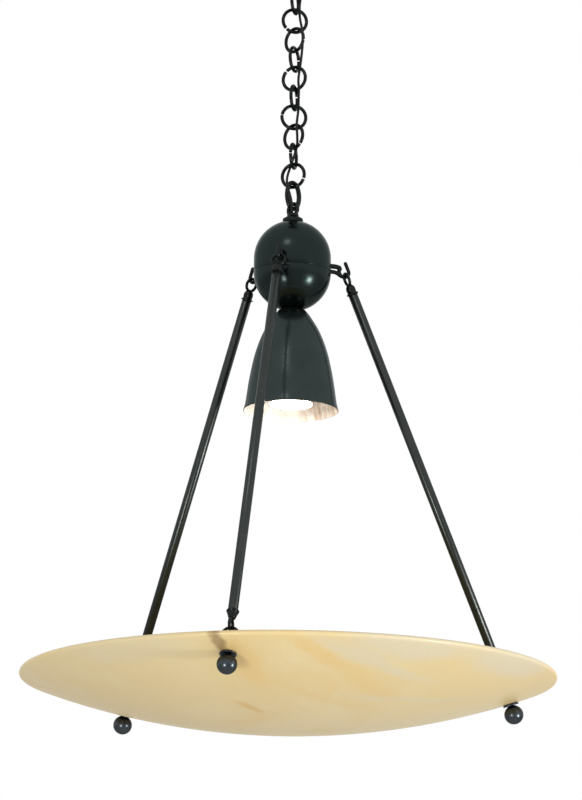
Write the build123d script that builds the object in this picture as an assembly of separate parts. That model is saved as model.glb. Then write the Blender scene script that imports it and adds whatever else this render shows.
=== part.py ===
from build123d import *
import math
import os

os.makedirs("parts", exist_ok=True)

# Inverted pendant light: a chain carries a ball body with a bell shade and three
# hooks, and three rods from the hooks carry a wide glass bowl under the lamp.
# The origin is the centre of the ceiling plane, +Z is up and +Y is away from the viewer.

# Sizes of the ceiling fitting
canopy_diameter = 127.0
canopy_depth = 26.2
canopy_wall = 1.0
canopy_rim_height = 3.0
canopy_knee_inset = 3.5
canopy_knee_drop = 13.6
canopy_flat_diameter = 36.0
slot_spacing = 88.9
slot_width = 4.4
slot_length = 12.0
crossbar_end_margin = 4.55
crossbar_length = slot_spacing + slot_length + 2 * crossbar_end_margin
crossbar_width = 22.0
crossbar_thickness = 2.0
ground_screw_offset = 22.0
ground_screw_head = 8.0
ground_screw_head_height = 2.4
ground_screw_shank = 3.6
collar_diameter = 20.0
collar_height = 5.0
collar_chamfer = 0.6

# Sizes of the threaded tubes and their nuts
nipple_diameter = 10.0
nipple_bore = 6.6
nut_across_flats = 15.0
nut_height = 4.0
thread_clearance = 0.05
hole_clearance = 0.2

# Sizes of the two cast loops, at the canopy and on the body
loop_wire = 5.0
loop_hole = 9.0
loop_rise = 14.5
loop_foot_diameter = 24.0
loop_foot_edge = 3.4
loop_foot_chamfer = 0.5
loop_neck_diameter = 13.0
loop_neck_height = 9.0
loop_neck_chamfer = 1.2
loop_flare_reach = 1.35
loop_flare_sag = 0.5
loop_socket_depth = 5.5
wireway_mouth_diameter = 11.0
wireway_mouth_rise = 1.5
body_loop_sink = 2.0
canopy_loop_turn = 20.0
body_loop_turn = -44.0

# Sizes of the chain: plain wire rings, each bent round with a narrow split
ring_wire = 4.05
ring_inner_diameter = 24.25
ring_split = 1.4
link_clearance = 0.3
ring_turns = [-62.0, 2.0, 74.0, 12.0, -44.0, 69.0, -23.0, 75.0, 8.0, -42.0, 76.0, -25.0]
ring_splits = [200.0, 20.0, 160.0, 225.0, 350.0, 10.0, 135.0, 20.0, 170.0, 315.0, 180.0, 340.0]
connector_wire = 5.6
connector_width = 25.5
connector_height = 37.0
connector_end_radius = 8.0
connector_turn = 46.0

# Sizes of the ball body
ball_diameter = 90.0
ball_wall = 1.2
ball_skirt = 17.0
seam_chamfer = 0.4
seam_lip = 4.0
hub_diameter = 28.0
hub_height = 16.0
hub_chamfer = 1.0
arm_notch_clearance = 0.5

# Sizes of the hooks
hook_wire = 4.1
hook_throat = 7.1
hook_trough_radius = 65.4
hook_trough_above_seam = 0.55
hook_tip_height = 17.4
hook_root_height = 11.4
hook_root_width = 5.6
hook_root_above_seam = 8.95
hook_root_sink = 0.8
hook_key_depth = 6.5
hook_key_stand_out = 0.3
hook_key_edge = 0.8
upper_strand = 5.6
upper_strand_middle = 12.6
upper_strand_sag = 0.3
lower_strand = 4.8
lower_strand_tip = 3.7
lower_strand_middle = 13.4
lower_strand_sag = 0.4
hook_shank_diameter = 6.0
hook_shank_in_hub = 7.0
hook_shank_end_gap = 0.3
hook_shank_end_inset = 4.0
arm_count = 3
first_arm_angle = 16.1

# Sizes of the rods and their eyes
rod_eye_to_eye = 495.4
rod_diameter = 11.0
rod_wall = 1.05
eye_wire = 3.5
eye_outer_diameter = 18.2
eye_root_diameter = 4.2
fitting_diameter = 11.2
upper_fitting_length = 19.0
lower_fitting_length = 18.0
fitting_lip_diameter = 14.0
fitting_lip_height = 1.7
fitting_edge = 0.5
upper_shoulder = [(2.0, 2.4), (0.5, 3.6), (0.0, 4.6)]
lower_neck_inset = 2.2
lower_neck_rise = 2.2
lower_swell = 0.6
spigot_length = 10.0
lower_eye_clearance = 0.6

# Sizes of the bowl and what goes through it
bowl_diameter = 609.0
bowl_depth = 57.6
bowl_wall = 6.0
bowl_hole_diameter = 6.4
bolt_circle_radius = 267.0
bolt_ring_outer_diameter = 21.5
bolt_ring_height = 15.4
bolt_diameter = 4.8
gasket_diameter = 16.0
gasket_thickness = 1.0
inner_washer_diameter = 14.0
inner_washer_thickness = 1.2
bowl_nut_across_flats = 8.0
bowl_nut_height = 2.2
outer_gasket_thickness = 0.8
flange_washer_diameter = 18.5
flange_washer_thickness = 1.8
finial_diameter = 22.2
finial_seat_sink = 0.3
bolt_past_finial_centre = 2.8
glass_seat_clearance = 0.05

# Sizes of the bell shade, as radius and height below the bottom of the ball
shade_wall = 1.2
shade_top_thickness = 1.5
shade_outline = [
    (12.7, -1.2),
    (17.0, 2.0),
    (25.0, 13.2),
    (32.0, 25.4),
    (37.3, 37.6),
    (41.4, 49.8),
    (44.6, 62.0),
    (49.3, 86.4),
    (52.8, 110.8),
    (55.1, 120.5),
]

# Sizes of the lamp and its holder
lamp_face_diameter = 50.0
lamp_recess = 8.5
lamp_rim_height = 3.0
lamp_edge = 1.5
lamp_back_bow = 4.6
lamp_glass_wall = 2.4
lamp_base_shoulder = 2.5
lamp_floor_diameter = 14.0
lamp_floor_thickness = 2.0
lamp_length = 54.0
lamp_reflector_height = 30.0
lamp_throat_diameter = 26.0
lamp_base_diameter = 20.0
lamp_pin_spacing = 10.0
lamp_pin_diameter = 2.6
lamp_pin_length = 6.0
lens_diameter = 49.0
lens_thickness = 1.5
holder_diameter = 27.0
holder_height = 24.0
holder_edge = 1.0
holder_entry_diameter = 5.0
holder_entry_depth = 4.0
bracket_thickness = 1.5
bracket_width = 12.0
bracket_foot = 14.0
bracket_drop = 8.0
bracket_bend = 2.5
stem_end_drop = 3.0
holder_screw_diameter = 3.0
holder_screw_head = 5.4
holder_screw_head_height = 1.8
holder_screw_head_edge = 0.8
holder_screw_length = 5.0

# The cord: round section, and its route through the chain as points set by hand
cord_diameter = 3.0
cord_route = [
    (0.0, 0.0, 0.0),
    (0.0, 0.0, -14.0),
    (-0.1, 0.0, -28.0),
    (-0.6, 1.9, -40.0),
    (2.3, 6.8, -50.0),
    (4.5, 9.4, -61.0),
    (6.2, 10.3, -73.0),
    (7.3, 10.1, -85.0),
    (7.4, 9.3, -97.0),
    (5.6, 8.7, -109.0),
    (5.4, 6.4, -121.0),
    (6.2, -1.3, -133.0),
    (8.2, -10.9, -145.0),
    (9.6, -14.9, -157.0),
    (9.4, -11.8, -169.0),
    (8.1, -4.3, -181.0),
    (6.4, 2.4, -193.0),
    (4.6, 4.9, -205.0),
    (5.7, 5.7, -217.0),
    (5.3, 7.2, -229.0),
    (5.4, 5.7, -241.0),
    (4.4, -2.4, -253.0),
    (3.2, -9.5, -265.0),
    (4.2, -6.7, -277.0),
    (4.5, 1.2, -289.0),
    (0.1, 7.2, -301.0),
    (-3.6, 7.3, -313.0),
    (-6.8, -0.6, -325.0),
    (-7.7, -10.5, -337.0),
    (-5.7, -15.5, -347.0),
    (-2.8, -15.2, -356.0),
    (-1.2, -10.7, -364.0),
    (-1.5, -2.7, -371.0),
    (0.0, 0.0, -379.0),
    (0.3, 0.2, -391.0),
    (0.4, -0.5, -411.0),
    (0.1, -0.3, -445.0),
    (-0.4, 0.3, -480.0),
    (0.0, 0.0, -508.0),
    (0.0, 0.0, -522.0),
]

# Heights worked out from the ceiling down
loop_mid_radius = (loop_hole + loop_wire) / 2
ring_mid_radius = (ring_inner_diameter + ring_wire) / 2
ring_pitch = 2 * ring_mid_radius - ring_wire - link_clearance
ring_count = len(ring_turns)
crossbar_bottom = -crossbar_thickness
collar_top = -canopy_depth
collar_bottom = collar_top - collar_height
canopy_loop_z = collar_bottom - loop_rise
first_ring_top = canopy_loop_z - loop_mid_radius + (loop_wire + ring_wire) / 2 + link_clearance
ring_heights = [first_ring_top - ring_mid_radius - i * ring_pitch for i in range(ring_count)]
connector_top = (
    ring_heights[-1] - ring_mid_radius + (ring_wire + connector_wire) / 2 + link_clearance
)
connector_bottom = connector_top - (connector_height - connector_wire)
body_loop_z = connector_bottom + (connector_wire + loop_wire) / 2 + link_clearance - loop_mid_radius
ball_top = body_loop_z - loop_rise
ball_radius = ball_diameter / 2
upper_centre = ball_top - ball_radius
seam_z = upper_centre - ball_skirt
ball_bottom = seam_z - ball_radius
hook_root_z = seam_z + hook_root_above_seam
trough_z = seam_z + hook_trough_above_seam

# The rod's line, from the hook's trough to the wire of the eye bolt's ring
eye_mid_radius = (eye_outer_diameter - eye_wire) / 2
bolt_ring_mid_radius = (bolt_ring_outer_diameter - eye_wire) / 2
bowl_edge_radius = (bowl_diameter - bowl_wall) / 2
bowl_rise = bowl_depth - bowl_wall / 2
bowl_middle_curve = (bowl_edge_radius**2 + bowl_rise**2) / (2 * bowl_rise)
bowl_curve = bowl_middle_curve + bowl_wall / 2
bolt_tilt = math.asin(bolt_circle_radius / bowl_curve)
bolt_ring_top = bowl_wall + bolt_ring_height + bolt_ring_mid_radius
upper_eye_drop = eye_mid_radius - (eye_wire + hook_wire) / 2 - link_clearance
lower_eye_rise = eye_mid_radius - eye_wire - lower_eye_clearance
rod_span = rod_eye_to_eye + upper_eye_drop + lower_eye_rise
ring_top_radius = bolt_circle_radius - bolt_ring_top * math.sin(bolt_tilt)
rod_lean = math.asin((ring_top_radius - hook_trough_radius) / rod_span)
ring_top_z = trough_z - rod_span * math.cos(rod_lean)
bolt_z = ring_top_z - bolt_ring_top * math.cos(bolt_tilt)
bowl_centre_z = bolt_z + bowl_curve * math.cos(bolt_tilt)

# Places of the lamp parts, from the shade's mouth up
shade_mouth_z = ball_bottom - shade_outline[-1][1]
lamp_face_z = shade_mouth_z + lamp_recess
lamp_base_z = lamp_face_z + lamp_length - lamp_pin_length
holder_top_z = lamp_base_z + holder_height
bracket_plate_z = holder_top_z + bracket_drop
stem_end_z = bracket_plate_z - nut_height - stem_end_drop
stem_top_z = ball_top + loop_socket_depth


def save(name, solids):
    """Writes one named piece, or one group of like pieces."""
    group = solids if isinstance(solids, list) else [solids]
    pieces = [solid for piece in group for solid in piece.solids()]
    export_step(pieces[0] if len(pieces) == 1 else Compound(pieces), f"parts/{name}.step")


def turned_profile(points):
    """A solid of revolution from a closed outline of (radius, height) points."""
    face = make_face(Polyline([(r, z) for r, z in points], close=True))
    return revolve(Plane.XZ * face, Axis.Z)


def disc(diameter, bottom, top, bore=0.0):
    """A round plate, washer or tube between two heights."""
    middle = Pos(0, 0, (bottom + top) / 2)
    plate = middle * Cylinder(diameter / 2, top - bottom)
    return plate - middle * Cylinder(bore / 2, top - bottom) if bore else plate


def hex_nut(top, height, across_flats, thread_diameter):
    """A hexagon nut on a threaded tube or bolt, with its corners rounded off as they are turned."""
    bottom = top - height
    corner = across_flats / math.sqrt(3)
    shave = corner - across_flats / 2
    blank = Pos(0, 0, bottom) * extrude(
        RegularPolygon(across_flats / 2, 6, major_radius=False), height
    )
    rounding = turned_profile(
        [
            (0, bottom),
            (corner - shave, bottom),
            (corner, bottom + shave / 2),
            (corner, top - shave / 2),
            (corner - shave, top),
            (0, top),
        ]
    )
    return (blank & rounding) - disc(thread_diameter + 2 * thread_clearance, bottom, top)


def stem_nut(top):
    return hex_nut(top, nut_height, nut_across_flats, nipple_diameter)


def upright_ring(mid_radius, wire, split=0.0, split_angle=0.0):
    """A ring of round wire standing in the XZ plane, with an optional split."""
    section = Plane.XZ * Pos(mid_radius, 0) * Circle(wire / 2)
    gap_angle = math.degrees(split / mid_radius)
    ring = revolve(section, Axis.Z, 360 - gap_angle)
    return Rot(90, 0, 0) * Rot(0, 0, split_angle + gap_angle / 2) * ring


def arm_angles():
    """The directions of the arms, evenly spaced: right, left and front."""
    return [first_arm_angle + i * 360 / arm_count for i in range(arm_count)]


arm_names = ["right", "left", "front"]


# Crossbar: a flat steel strip with a tapped centre hole and two screw slots
def make_crossbar():
    middle = Pos(0, 0, -crossbar_thickness / 2)
    strip = middle * extrude(
        SlotOverall(crossbar_length, crossbar_width), crossbar_thickness / 2, both=True
    )
    centre_hole = middle * Cylinder(nipple_diameter / 2 + thread_clearance, crossbar_thickness)
    strip -= centre_hole
    for side in (-1, 1):
        slot = extrude(SlotOverall(slot_length, slot_width), crossbar_thickness, both=True)
        strip -= Pos(side * slot_spacing / 2, 0, 0) * slot
    screw_hole = Cylinder(ground_screw_shank / 2 + thread_clearance, 3 * crossbar_thickness)
    return strip - Pos(ground_screw_offset, 0, 0) * screw_hole


def make_ground_screw():
    head_top = crossbar_bottom
    head_bottom = head_top - ground_screw_head_height
    head = Pos(0, 0, head_bottom) * extrude(
        RegularPolygon(ground_screw_head / 2, 6, major_radius=False), ground_screw_head_height
    )
    shank = disc(ground_screw_shank, head_top, 0)
    return Pos(ground_screw_offset, 0, 0) * (head + shank)


# Canopy: a spun dome with a rolled rim and a centre hole
def make_canopy():
    rim_radius = canopy_diameter / 2
    knee_radius = rim_radius - canopy_knee_inset
    flat_radius = canopy_flat_diameter / 2

    def dome(inset):
        rim_edge = (rim_radius - inset, -canopy_rim_height)
        outline = Polyline((0, 0), (rim_radius - inset, 0), rim_edge)
        curve = Spline(
            rim_edge,
            (knee_radius - inset, -canopy_knee_drop + inset / 2),
            (flat_radius, -canopy_depth + inset),
            tangents=[(0, -1), (-1, 0)],
        )
        top = Polyline((flat_radius, -canopy_depth + inset), (0, -canopy_depth + inset), (0, 0))
        return revolve(Plane.XZ * make_face([outline, curve, top]), Axis.Z)

    hole = disc(nipple_diameter + 2 * hole_clearance, -canopy_depth - canopy_wall, 0)
    return dome(0) - dome(canopy_wall) - hole


# Collar: a knurled ring nut that holds the canopy up against the ceiling
def make_collar():
    ring = disc(
        collar_diameter, collar_bottom, collar_top, nipple_diameter + 2 * thread_clearance
    )
    edges = ring.edges().filter_by(GeomType.CIRCLE).group_by(SortBy.RADIUS)[-1]
    return chamfer(edges, collar_chamfer)


# Loop fitting, made about the centre of its ring with the foot below
def make_loop(foot_bottom):
    foot_radius = loop_foot_diameter / 2
    neck_radius = loop_neck_diameter / 2
    foot_edge_z = -loop_rise + loop_foot_edge
    neck_z = -loop_rise + loop_neck_height
    neck_top = neck_z + loop_neck_chamfer
    foot_edge = (foot_radius - loop_foot_chamfer, foot_edge_z)
    sides = Polyline(
        (0, neck_top),
        (neck_radius - loop_neck_chamfer, neck_top),
        (neck_radius, neck_z),
    )
    flare = ThreePointArc(
        (neck_radius, neck_z),
        (neck_radius + loop_flare_reach, (neck_z + foot_edge_z) / 2 - loop_flare_sag),
        foot_edge,
    )
    foot = Polyline(
        foot_edge,
        (foot_radius, foot_edge_z - loop_foot_chamfer),
        (foot_radius, foot_bottom),
        (0, foot_bottom),
        (0, neck_top),
    )
    trumpet = revolve(Plane.XZ * make_face([sides, flare, foot]), Axis.Z)
    socket_top = -loop_rise + loop_socket_depth
    mouth_z = -loop_hole / 2 + wireway_mouth_rise
    wireway = turned_profile(
        [
            (0, socket_top),
            (nipple_bore / 2, socket_top),
            (wireway_mouth_diameter / 2, mouth_z),
            (0, mouth_z),
        ]
    )
    socket = disc(nipple_diameter + 2 * thread_clearance, foot_bottom, socket_top)
    return trumpet + upright_ring(loop_mid_radius, loop_wire) - wireway - socket


def make_canopy_loop():
    loop = Rot(180, 0, 0) * make_loop(-loop_rise)
    return Pos(0, 0, canopy_loop_z) * Rot(0, 0, canopy_loop_turn) * loop


def make_body_loop():
    place = Pos(0, 0, body_loop_z) * Rot(0, 0, body_loop_turn)
    loop = place * make_loop(-loop_rise - body_loop_sink)
    return loop - Pos(0, 0, upper_centre) * Sphere(ball_radius)


# Chain ring: wire bent round until its ends almost meet
def make_ring(index):
    ring = upright_ring(ring_mid_radius, ring_wire, ring_split, ring_splits[index])
    return Pos(0, 0, ring_heights[index]) * Rot(0, 0, ring_turns[index]) * ring


# Connector: a heavier oval link between the last ring and the body loop
def make_connector():
    half_width = (connector_width - connector_wire) / 2
    half_height = (connector_height - connector_wire) / 2
    end_centre = half_height - connector_end_radius
    side_radius = (half_width**2 + end_centre**2 - connector_end_radius**2) / (
        2 * (half_width - connector_end_radius)
    )
    side_centre = side_radius - half_width
    share = side_radius / (side_radius - connector_end_radius)
    x, z = side_centre * share - side_centre, end_centre * share
    right = ThreePointArc((x, -z), (half_width, 0), (x, z))
    top = ThreePointArc((x, z), (0, half_height), (-x, z))
    left = ThreePointArc((-x, z), (-half_width, 0), (-x, -z))
    bottom = ThreePointArc((-x, -z), (0, -half_height), (x, -z))
    path = Plane.XZ * Wire([right, top, left, bottom])
    section = Plane(origin=path @ 0, z_dir=path % 0) * Circle(connector_wire / 2)
    link = sweep(section, path)
    middle = (connector_top + connector_bottom) / 2
    return Pos(0, 0, middle) * Rot(0, 0, connector_turn) * link


# Ball body: two spun shells that meet at the seam
def make_upper_shell():
    inner_radius = ball_radius - ball_wall
    top_arc = CenterArc((0, upper_centre), ball_radius, 0, 90)
    inner_arc = CenterArc((0, upper_centre), inner_radius, 0, 90)
    skirt = Polyline(
        (ball_radius, upper_centre),
        (ball_radius, seam_z + seam_chamfer),
        (ball_radius - seam_chamfer, seam_z),
        (inner_radius, seam_z),
        (inner_radius, upper_centre),
    )
    crown = Line(inner_arc @ 1, top_arc @ 1)
    shell = revolve(Plane.XZ * make_face([top_arc, skirt, inner_arc, crown]), Axis.Z)
    shell -= disc(nipple_diameter + 2 * hole_clearance, upper_centre, ball_top + ball_wall)
    notch_top = hook_root_z + hook_root_height / 2 + hole_clearance
    return cut_for_arms(shell, hook_root_width + 2 * hole_clearance, seam_z - ball_wall, notch_top)


def cut_for_arms(shell, width, bottom, top):
    """Cuts an upright slot through the shell's wall at each arm."""
    slot = Pos(ball_radius / 2, 0, bottom) * Box(
        ball_diameter, width, top - bottom, align=(Align.MIN, Align.CENTER, Align.MIN)
    )
    for angle in arm_angles():
        shell -= Rot(0, 0, angle) * slot
    return shell


def make_lower_shell():
    inner_radius = ball_radius - ball_wall
    edge_angle = math.degrees(math.asin(seam_chamfer / ball_radius))
    outer_arc = CenterArc((0, seam_z), ball_radius, -90, 90 - edge_angle)
    inner_arc = CenterArc((0, seam_z), inner_radius, -90, 90)
    edge = Polyline(outer_arc @ 1, (ball_radius - seam_chamfer, seam_z), inner_arc @ 1)
    foot = Line(outer_arc @ 0, inner_arc @ 0)
    shell = revolve(Plane.XZ * make_face([outer_arc, edge, inner_arc, foot]), Axis.Z)
    lip_outside = 2 * (inner_radius - hole_clearance)
    lip = disc(lip_outside, seam_z, seam_z + seam_lip, lip_outside - 2 * ball_wall)
    notch_width = hook_root_width + 2 * arm_notch_clearance
    lip = cut_for_arms(lip, notch_width, seam_z - ball_wall, seam_z + seam_lip + ball_wall)
    root = Pos(0, 0, seam_z) * Sphere(inner_radius + ball_wall / 2)
    ledge = root & disc(2 * inner_radius + ball_wall, seam_z - seam_lip, seam_z)
    ledge -= disc(lip_outside - 2 * ball_wall, seam_z - seam_lip, seam_z)
    hole_top = seam_z - ball_radius / 2
    hole = disc(nipple_diameter + 2 * hole_clearance, ball_bottom - ball_wall, hole_top)
    return shell + ledge + lip - hole


# Hub: a turned boss on the stem with a tapped hole for each hook
def make_hub():
    bottom = hook_root_z - hub_height / 2
    hub = disc(hub_diameter, bottom, bottom + hub_height, nipple_diameter + 2 * thread_clearance)
    rims = hub.edges().filter_by(GeomType.CIRCLE).group_by(SortBy.RADIUS)[-1]
    hub = chamfer(rims, hub_chamfer)
    tapped = hook_shank_diameter / 2 + thread_clearance
    hole = Rot(0, 90, 0) * Cylinder(
        tapped, hub_diameter, align=(Align.CENTER, Align.CENTER, Align.MIN)
    )
    hole_start = hub_diameter / 2 - hook_shank_in_hub
    for angle in arm_angles():
        hub -= Rot(0, 0, angle) * Pos(hole_start, 0, hook_root_z) * hole
    return hub


# Hook: a forged J whose root is split into two strands, made in its own arm's plane
def make_hook():
    lean = rod_lean
    up = Vector(-math.sin(lean), 0, math.cos(lean))
    out = Vector(math.cos(lean), 0, math.sin(lean))
    trough = Vector(hook_trough_radius, 0, trough_z)
    bend = (hook_throat + hook_wire) / 2

    def at(along_out, along_up):
        return trough + out * along_out + up * along_up

    inner_leg = at(-bend, bend)
    outer_leg = at(bend, bend)
    bowl_side = at(bend, hook_tip_height - hook_wire / 2)
    throat = ThreePointArc(inner_leg, trough, outer_leg)
    j_path = Wire([throat, Line(outer_leg, bowl_side)])
    section = Plane(origin=inner_leg, z_dir=-up) * Circle(hook_wire / 2)
    hook = sweep(section, j_path)
    hook += Pos(*bowl_side) * Sphere(hook_wire / 2)

    def strand(points, start_tangent, end_tangent, start_diameter, end_diameter):
        line = Spline(points, tangents=[start_tangent, end_tangent])
        steps = 6
        sections = []
        for i in range(steps + 1):
            share = i / steps
            radius = (start_diameter + (end_diameter - start_diameter) * share) / 2
            plane = Plane(origin=line @ share, x_dir=(0, 1, 0), z_dir=line % share)
            sections.append(plane * Circle(radius))
        return loft(sections)

    root_radius = ball_radius - hook_root_sink
    root_top = hook_root_z + hook_root_height / 2
    root_bottom = hook_root_z - hook_root_height / 2
    high = root_top - upper_strand / 2
    low = root_bottom + lower_strand / 2
    upper_middle = (hook_trough_radius - upper_strand_middle, 0, high - upper_strand_sag)
    hook += strand(
        [(root_radius, 0, high), upper_middle, inner_leg],
        (1, 0, 0),
        -up,
        upper_strand,
        hook_wire,
    )
    low_end = at(-bend * math.sin(math.pi / 4), bend * (1 - math.cos(math.pi / 4)))
    low_heading = (out - up).normalized()
    lower_middle = (hook_trough_radius - lower_strand_middle, 0, low - lower_strand_sag)
    hook += strand(
        [(root_radius, 0, low), lower_middle, low_end],
        (1, 0, 0),
        low_heading,
        lower_strand,
        lower_strand_tip,
    )
    key = Box(
        hook_key_depth,
        hook_root_width,
        root_top - seam_z - thread_clearance,
        align=(Align.MAX, Align.CENTER, Align.MAX),
    )
    key = fillet(key.edges().filter_by(Axis.X), hook_key_edge)
    hook += Pos(ball_radius + hook_key_stand_out, 0, root_top) * key
    shank_start = hub_diameter / 2 - hook_shank_in_hub + hook_shank_end_gap
    shank = Rot(0, 90, 0) * Cylinder(
        hook_shank_diameter / 2,
        ball_radius - hook_shank_end_inset - shank_start,
        align=(Align.CENTER, Align.CENTER, Align.MIN),
    )
    return hook + Pos(shank_start, 0, hook_root_z) * shank


# Shade: a spun bell that seats under the ball
def shade_solid(inset):
    points = []
    for i, (radius, drop) in enumerate(shade_outline):
        before = shade_outline[max(i - 1, 0)]
        after = shade_outline[min(i + 1, len(shade_outline) - 1)]
        along = Vector(after[0] - before[0], before[1] - after[1]).normalized()
        points.append((radius + inset * along.Y, ball_bottom - drop - inset * along.X))
    top_z = points[0][1]
    top = Line((0, top_z), points[0])
    wall = Spline(points)
    mouth_z = points[-1][1]
    close = Polyline(points[-1], (0, mouth_z), (0, top_z))
    return revolve(Plane.XZ * make_face([top, wall, close]), Axis.Z)


def make_shade():
    mouth_diameter = 2 * shade_outline[-1][0]
    below_mouth_z = shade_mouth_z - 3 * shade_wall
    hollow = shade_solid(shade_wall)
    hollow &= disc(mouth_diameter, below_mouth_z, ball_bottom - shade_top_thickness)
    shade = shade_solid(0) - hollow - disc(mouth_diameter, below_mouth_z, shade_mouth_z)
    shade -= Pos(0, 0, seam_z) * Sphere(ball_radius)
    hole_reach = 2 * shade_top_thickness
    hole_size = nipple_diameter + 2 * hole_clearance
    return shade - disc(hole_size, ball_bottom - hole_reach, ball_bottom + hole_reach)


# Lamp bracket: a strip bent into an upside-down U on the end of the stem
def make_bracket():
    inner = holder_diameter / 2 + hole_clearance
    outer = inner + bracket_thickness
    leg_bottom = holder_top_z - bracket_foot
    height = bracket_plate_z + bracket_thickness - leg_bottom
    block = Pos(0, 0, leg_bottom + height / 2) * Box(2 * outer, bracket_width, height)
    block = fillet(block.edges().filter_by(Axis.Y).group_by(Axis.Z)[-1], bracket_bend)
    space_height = height - bracket_thickness
    space = Pos(0, 0, leg_bottom + space_height / 2) * Box(2 * inner, bracket_width, space_height)
    bracket = block - space
    hole_top = bracket_plate_z + 2 * bracket_thickness
    bracket -= disc(
        nipple_diameter + 2 * hole_clearance, bracket_plate_z - bracket_thickness, hole_top
    )
    return bracket - holder_screw_hole(outer)


def holder_screw_z():
    return holder_top_z - bracket_foot / 2


def holder_screw_hole(reach):
    radius = holder_screw_diameter / 2 + thread_clearance
    return Pos(0, 0, holder_screw_z()) * Rot(0, 90, 0) * Cylinder(radius, 2 * reach)


# Lamp holder: a porcelain body with two pin holes below and a cord entry on top
def make_holder():
    body = disc(holder_diameter, lamp_base_z, holder_top_z)
    rims = body.edges().filter_by(GeomType.CIRCLE)
    body = fillet(rims, holder_edge)
    body -= disc(holder_entry_diameter, holder_top_z - holder_entry_depth, holder_top_z)
    for side in (-1, 1):
        pin_hole = disc(
            lamp_pin_diameter + 2 * hole_clearance,
            lamp_base_z,
            lamp_base_z + lamp_pin_length + hole_clearance,
        )
        body -= Pos(side * lamp_pin_spacing / 2, 0, 0) * pin_hole
        tapped = Rot(0, 90, 0) * Cylinder(
            holder_screw_diameter / 2 + thread_clearance, holder_screw_length
        )
        tapped_x = side * (holder_diameter - holder_screw_length) / 2
        body -= Pos(tapped_x, 0, holder_screw_z()) * tapped
    return body


def make_holder_screws():
    outer = holder_diameter / 2 + hole_clearance + bracket_thickness
    head = Pos(0, 0, outer) * Cylinder(
        holder_screw_head / 2,
        holder_screw_head_height,
        align=(Align.CENTER, Align.CENTER, Align.MIN),
    )
    head = fillet(head.edges().group_by(Axis.Z)[-1], holder_screw_head_edge)
    shank_start = holder_diameter / 2 - holder_screw_length + hole_clearance
    shank = Pos(0, 0, shank_start) * Cylinder(
        holder_screw_diameter / 2,
        outer - shank_start,
        align=(Align.CENTER, Align.CENTER, Align.MIN),
    )
    screw = head + shank
    place = Pos(0, 0, holder_screw_z())
    return [place * Rot(0, side * 90, 0) * screw for side in (-1, 1)]


# Lamp: a pressed glass reflector with a pin base, and its front glass
def make_lamp():
    face_radius = lamp_face_diameter / 2
    rim_top = lamp_face_z + lamp_rim_height
    throat_z = lamp_face_z + lamp_reflector_height
    floor_radius = lamp_floor_diameter / 2
    floor_z = throat_z - lamp_floor_thickness
    middle_z = (rim_top + throat_z) / 2
    mouth = (face_radius - lamp_edge, lamp_face_z)
    rim = Polyline(mouth, (face_radius, lamp_face_z), (face_radius, rim_top))
    back = Spline(
        (face_radius, rim_top),
        (face_radius - lamp_back_bow, middle_z),
        (lamp_throat_diameter / 2, throat_z),
        tangents=[(-0.1, 1), (-1, 1)],
    )
    base = Polyline(
        (lamp_throat_diameter / 2, throat_z),
        (lamp_base_diameter / 2, throat_z + lamp_base_shoulder),
        (lamp_base_diameter / 2, lamp_base_z),
        (0, lamp_base_z),
        (0, floor_z),
        (floor_radius, floor_z),
    )
    bowl_inside = Spline(
        (floor_radius, floor_z),
        (face_radius - lamp_back_bow - lamp_glass_wall, middle_z - lamp_edge),
        mouth,
    )
    lamp = revolve(Plane.XZ * make_face([rim, back, base, bowl_inside]), Axis.Z)
    for side in (-1, 1):
        pin = disc(lamp_pin_diameter, throat_z, lamp_base_z + lamp_pin_length)
        lamp += Pos(side * lamp_pin_spacing / 2, 0, 0) * pin
    return lamp


def make_lens():
    return disc(lens_diameter, lamp_face_z - lens_thickness, lamp_face_z)


# Rods: made with the eye's centre at the origin and the rod's line along Z
def rod_place(arm_angle, along):
    """The frame on one arm's rod line, so far below the hook's trough."""
    sine, cosine = math.sin(rod_lean), math.cos(rod_lean)
    origin = (hook_trough_radius + along * sine, 0, trough_z - along * cosine)
    line = Plane(origin, x_dir=(cosine, 0, sine), z_dir=(-sine, 0, cosine))
    return Rot(0, 0, arm_angle) * line.location


def spigot(heading, length):
    """Outline of a fitting's lip and the plug behind it, heading down (-1) or up (+1)."""
    lip_radius = fitting_lip_diameter / 2
    lip_start = length - fitting_lip_height
    spigot_radius = rod_diameter / 2 - rod_wall - thread_clearance
    points = [
        (lip_radius - fitting_edge, lip_start),
        (lip_radius, lip_start + fitting_edge),
        (lip_radius, length - fitting_edge),
        (lip_radius - fitting_edge, length),
        (spigot_radius, length),
        (spigot_radius, length + spigot_length),
        (0, length + spigot_length),
    ]
    return [(radius, heading * height) for radius, height in points]


def make_upper_eye():
    body_radius = fitting_diameter / 2
    outline = [(0, -eye_mid_radius), (eye_root_diameter / 2, -eye_mid_radius)]
    outline += [(body_radius - inset, -eye_mid_radius - drop) for inset, drop in upper_shoulder]
    outline += [(body_radius, fitting_lip_height - upper_fitting_length)]
    eye = Rot(0, 0, 90) * upright_ring(eye_mid_radius, eye_wire)
    return turned_profile(outline + spigot(-1, upper_fitting_length)) + eye


def make_lower_eye():
    body_radius = fitting_diameter / 2
    outline = [
        (0, eye_mid_radius),
        (eye_root_diameter / 2, eye_mid_radius),
        (body_radius - lower_neck_inset, eye_mid_radius + lower_neck_rise),
        (body_radius + lower_swell, lower_fitting_length - fitting_lip_height),
    ]
    outline += spigot(1, lower_fitting_length)
    return turned_profile(outline) + upright_ring(eye_mid_radius, eye_wire)


def make_rod_tube():
    return disc(
        rod_diameter,
        -rod_eye_to_eye + lower_fitting_length,
        -upper_fitting_length,
        rod_diameter - 2 * rod_wall,
    )


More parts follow.
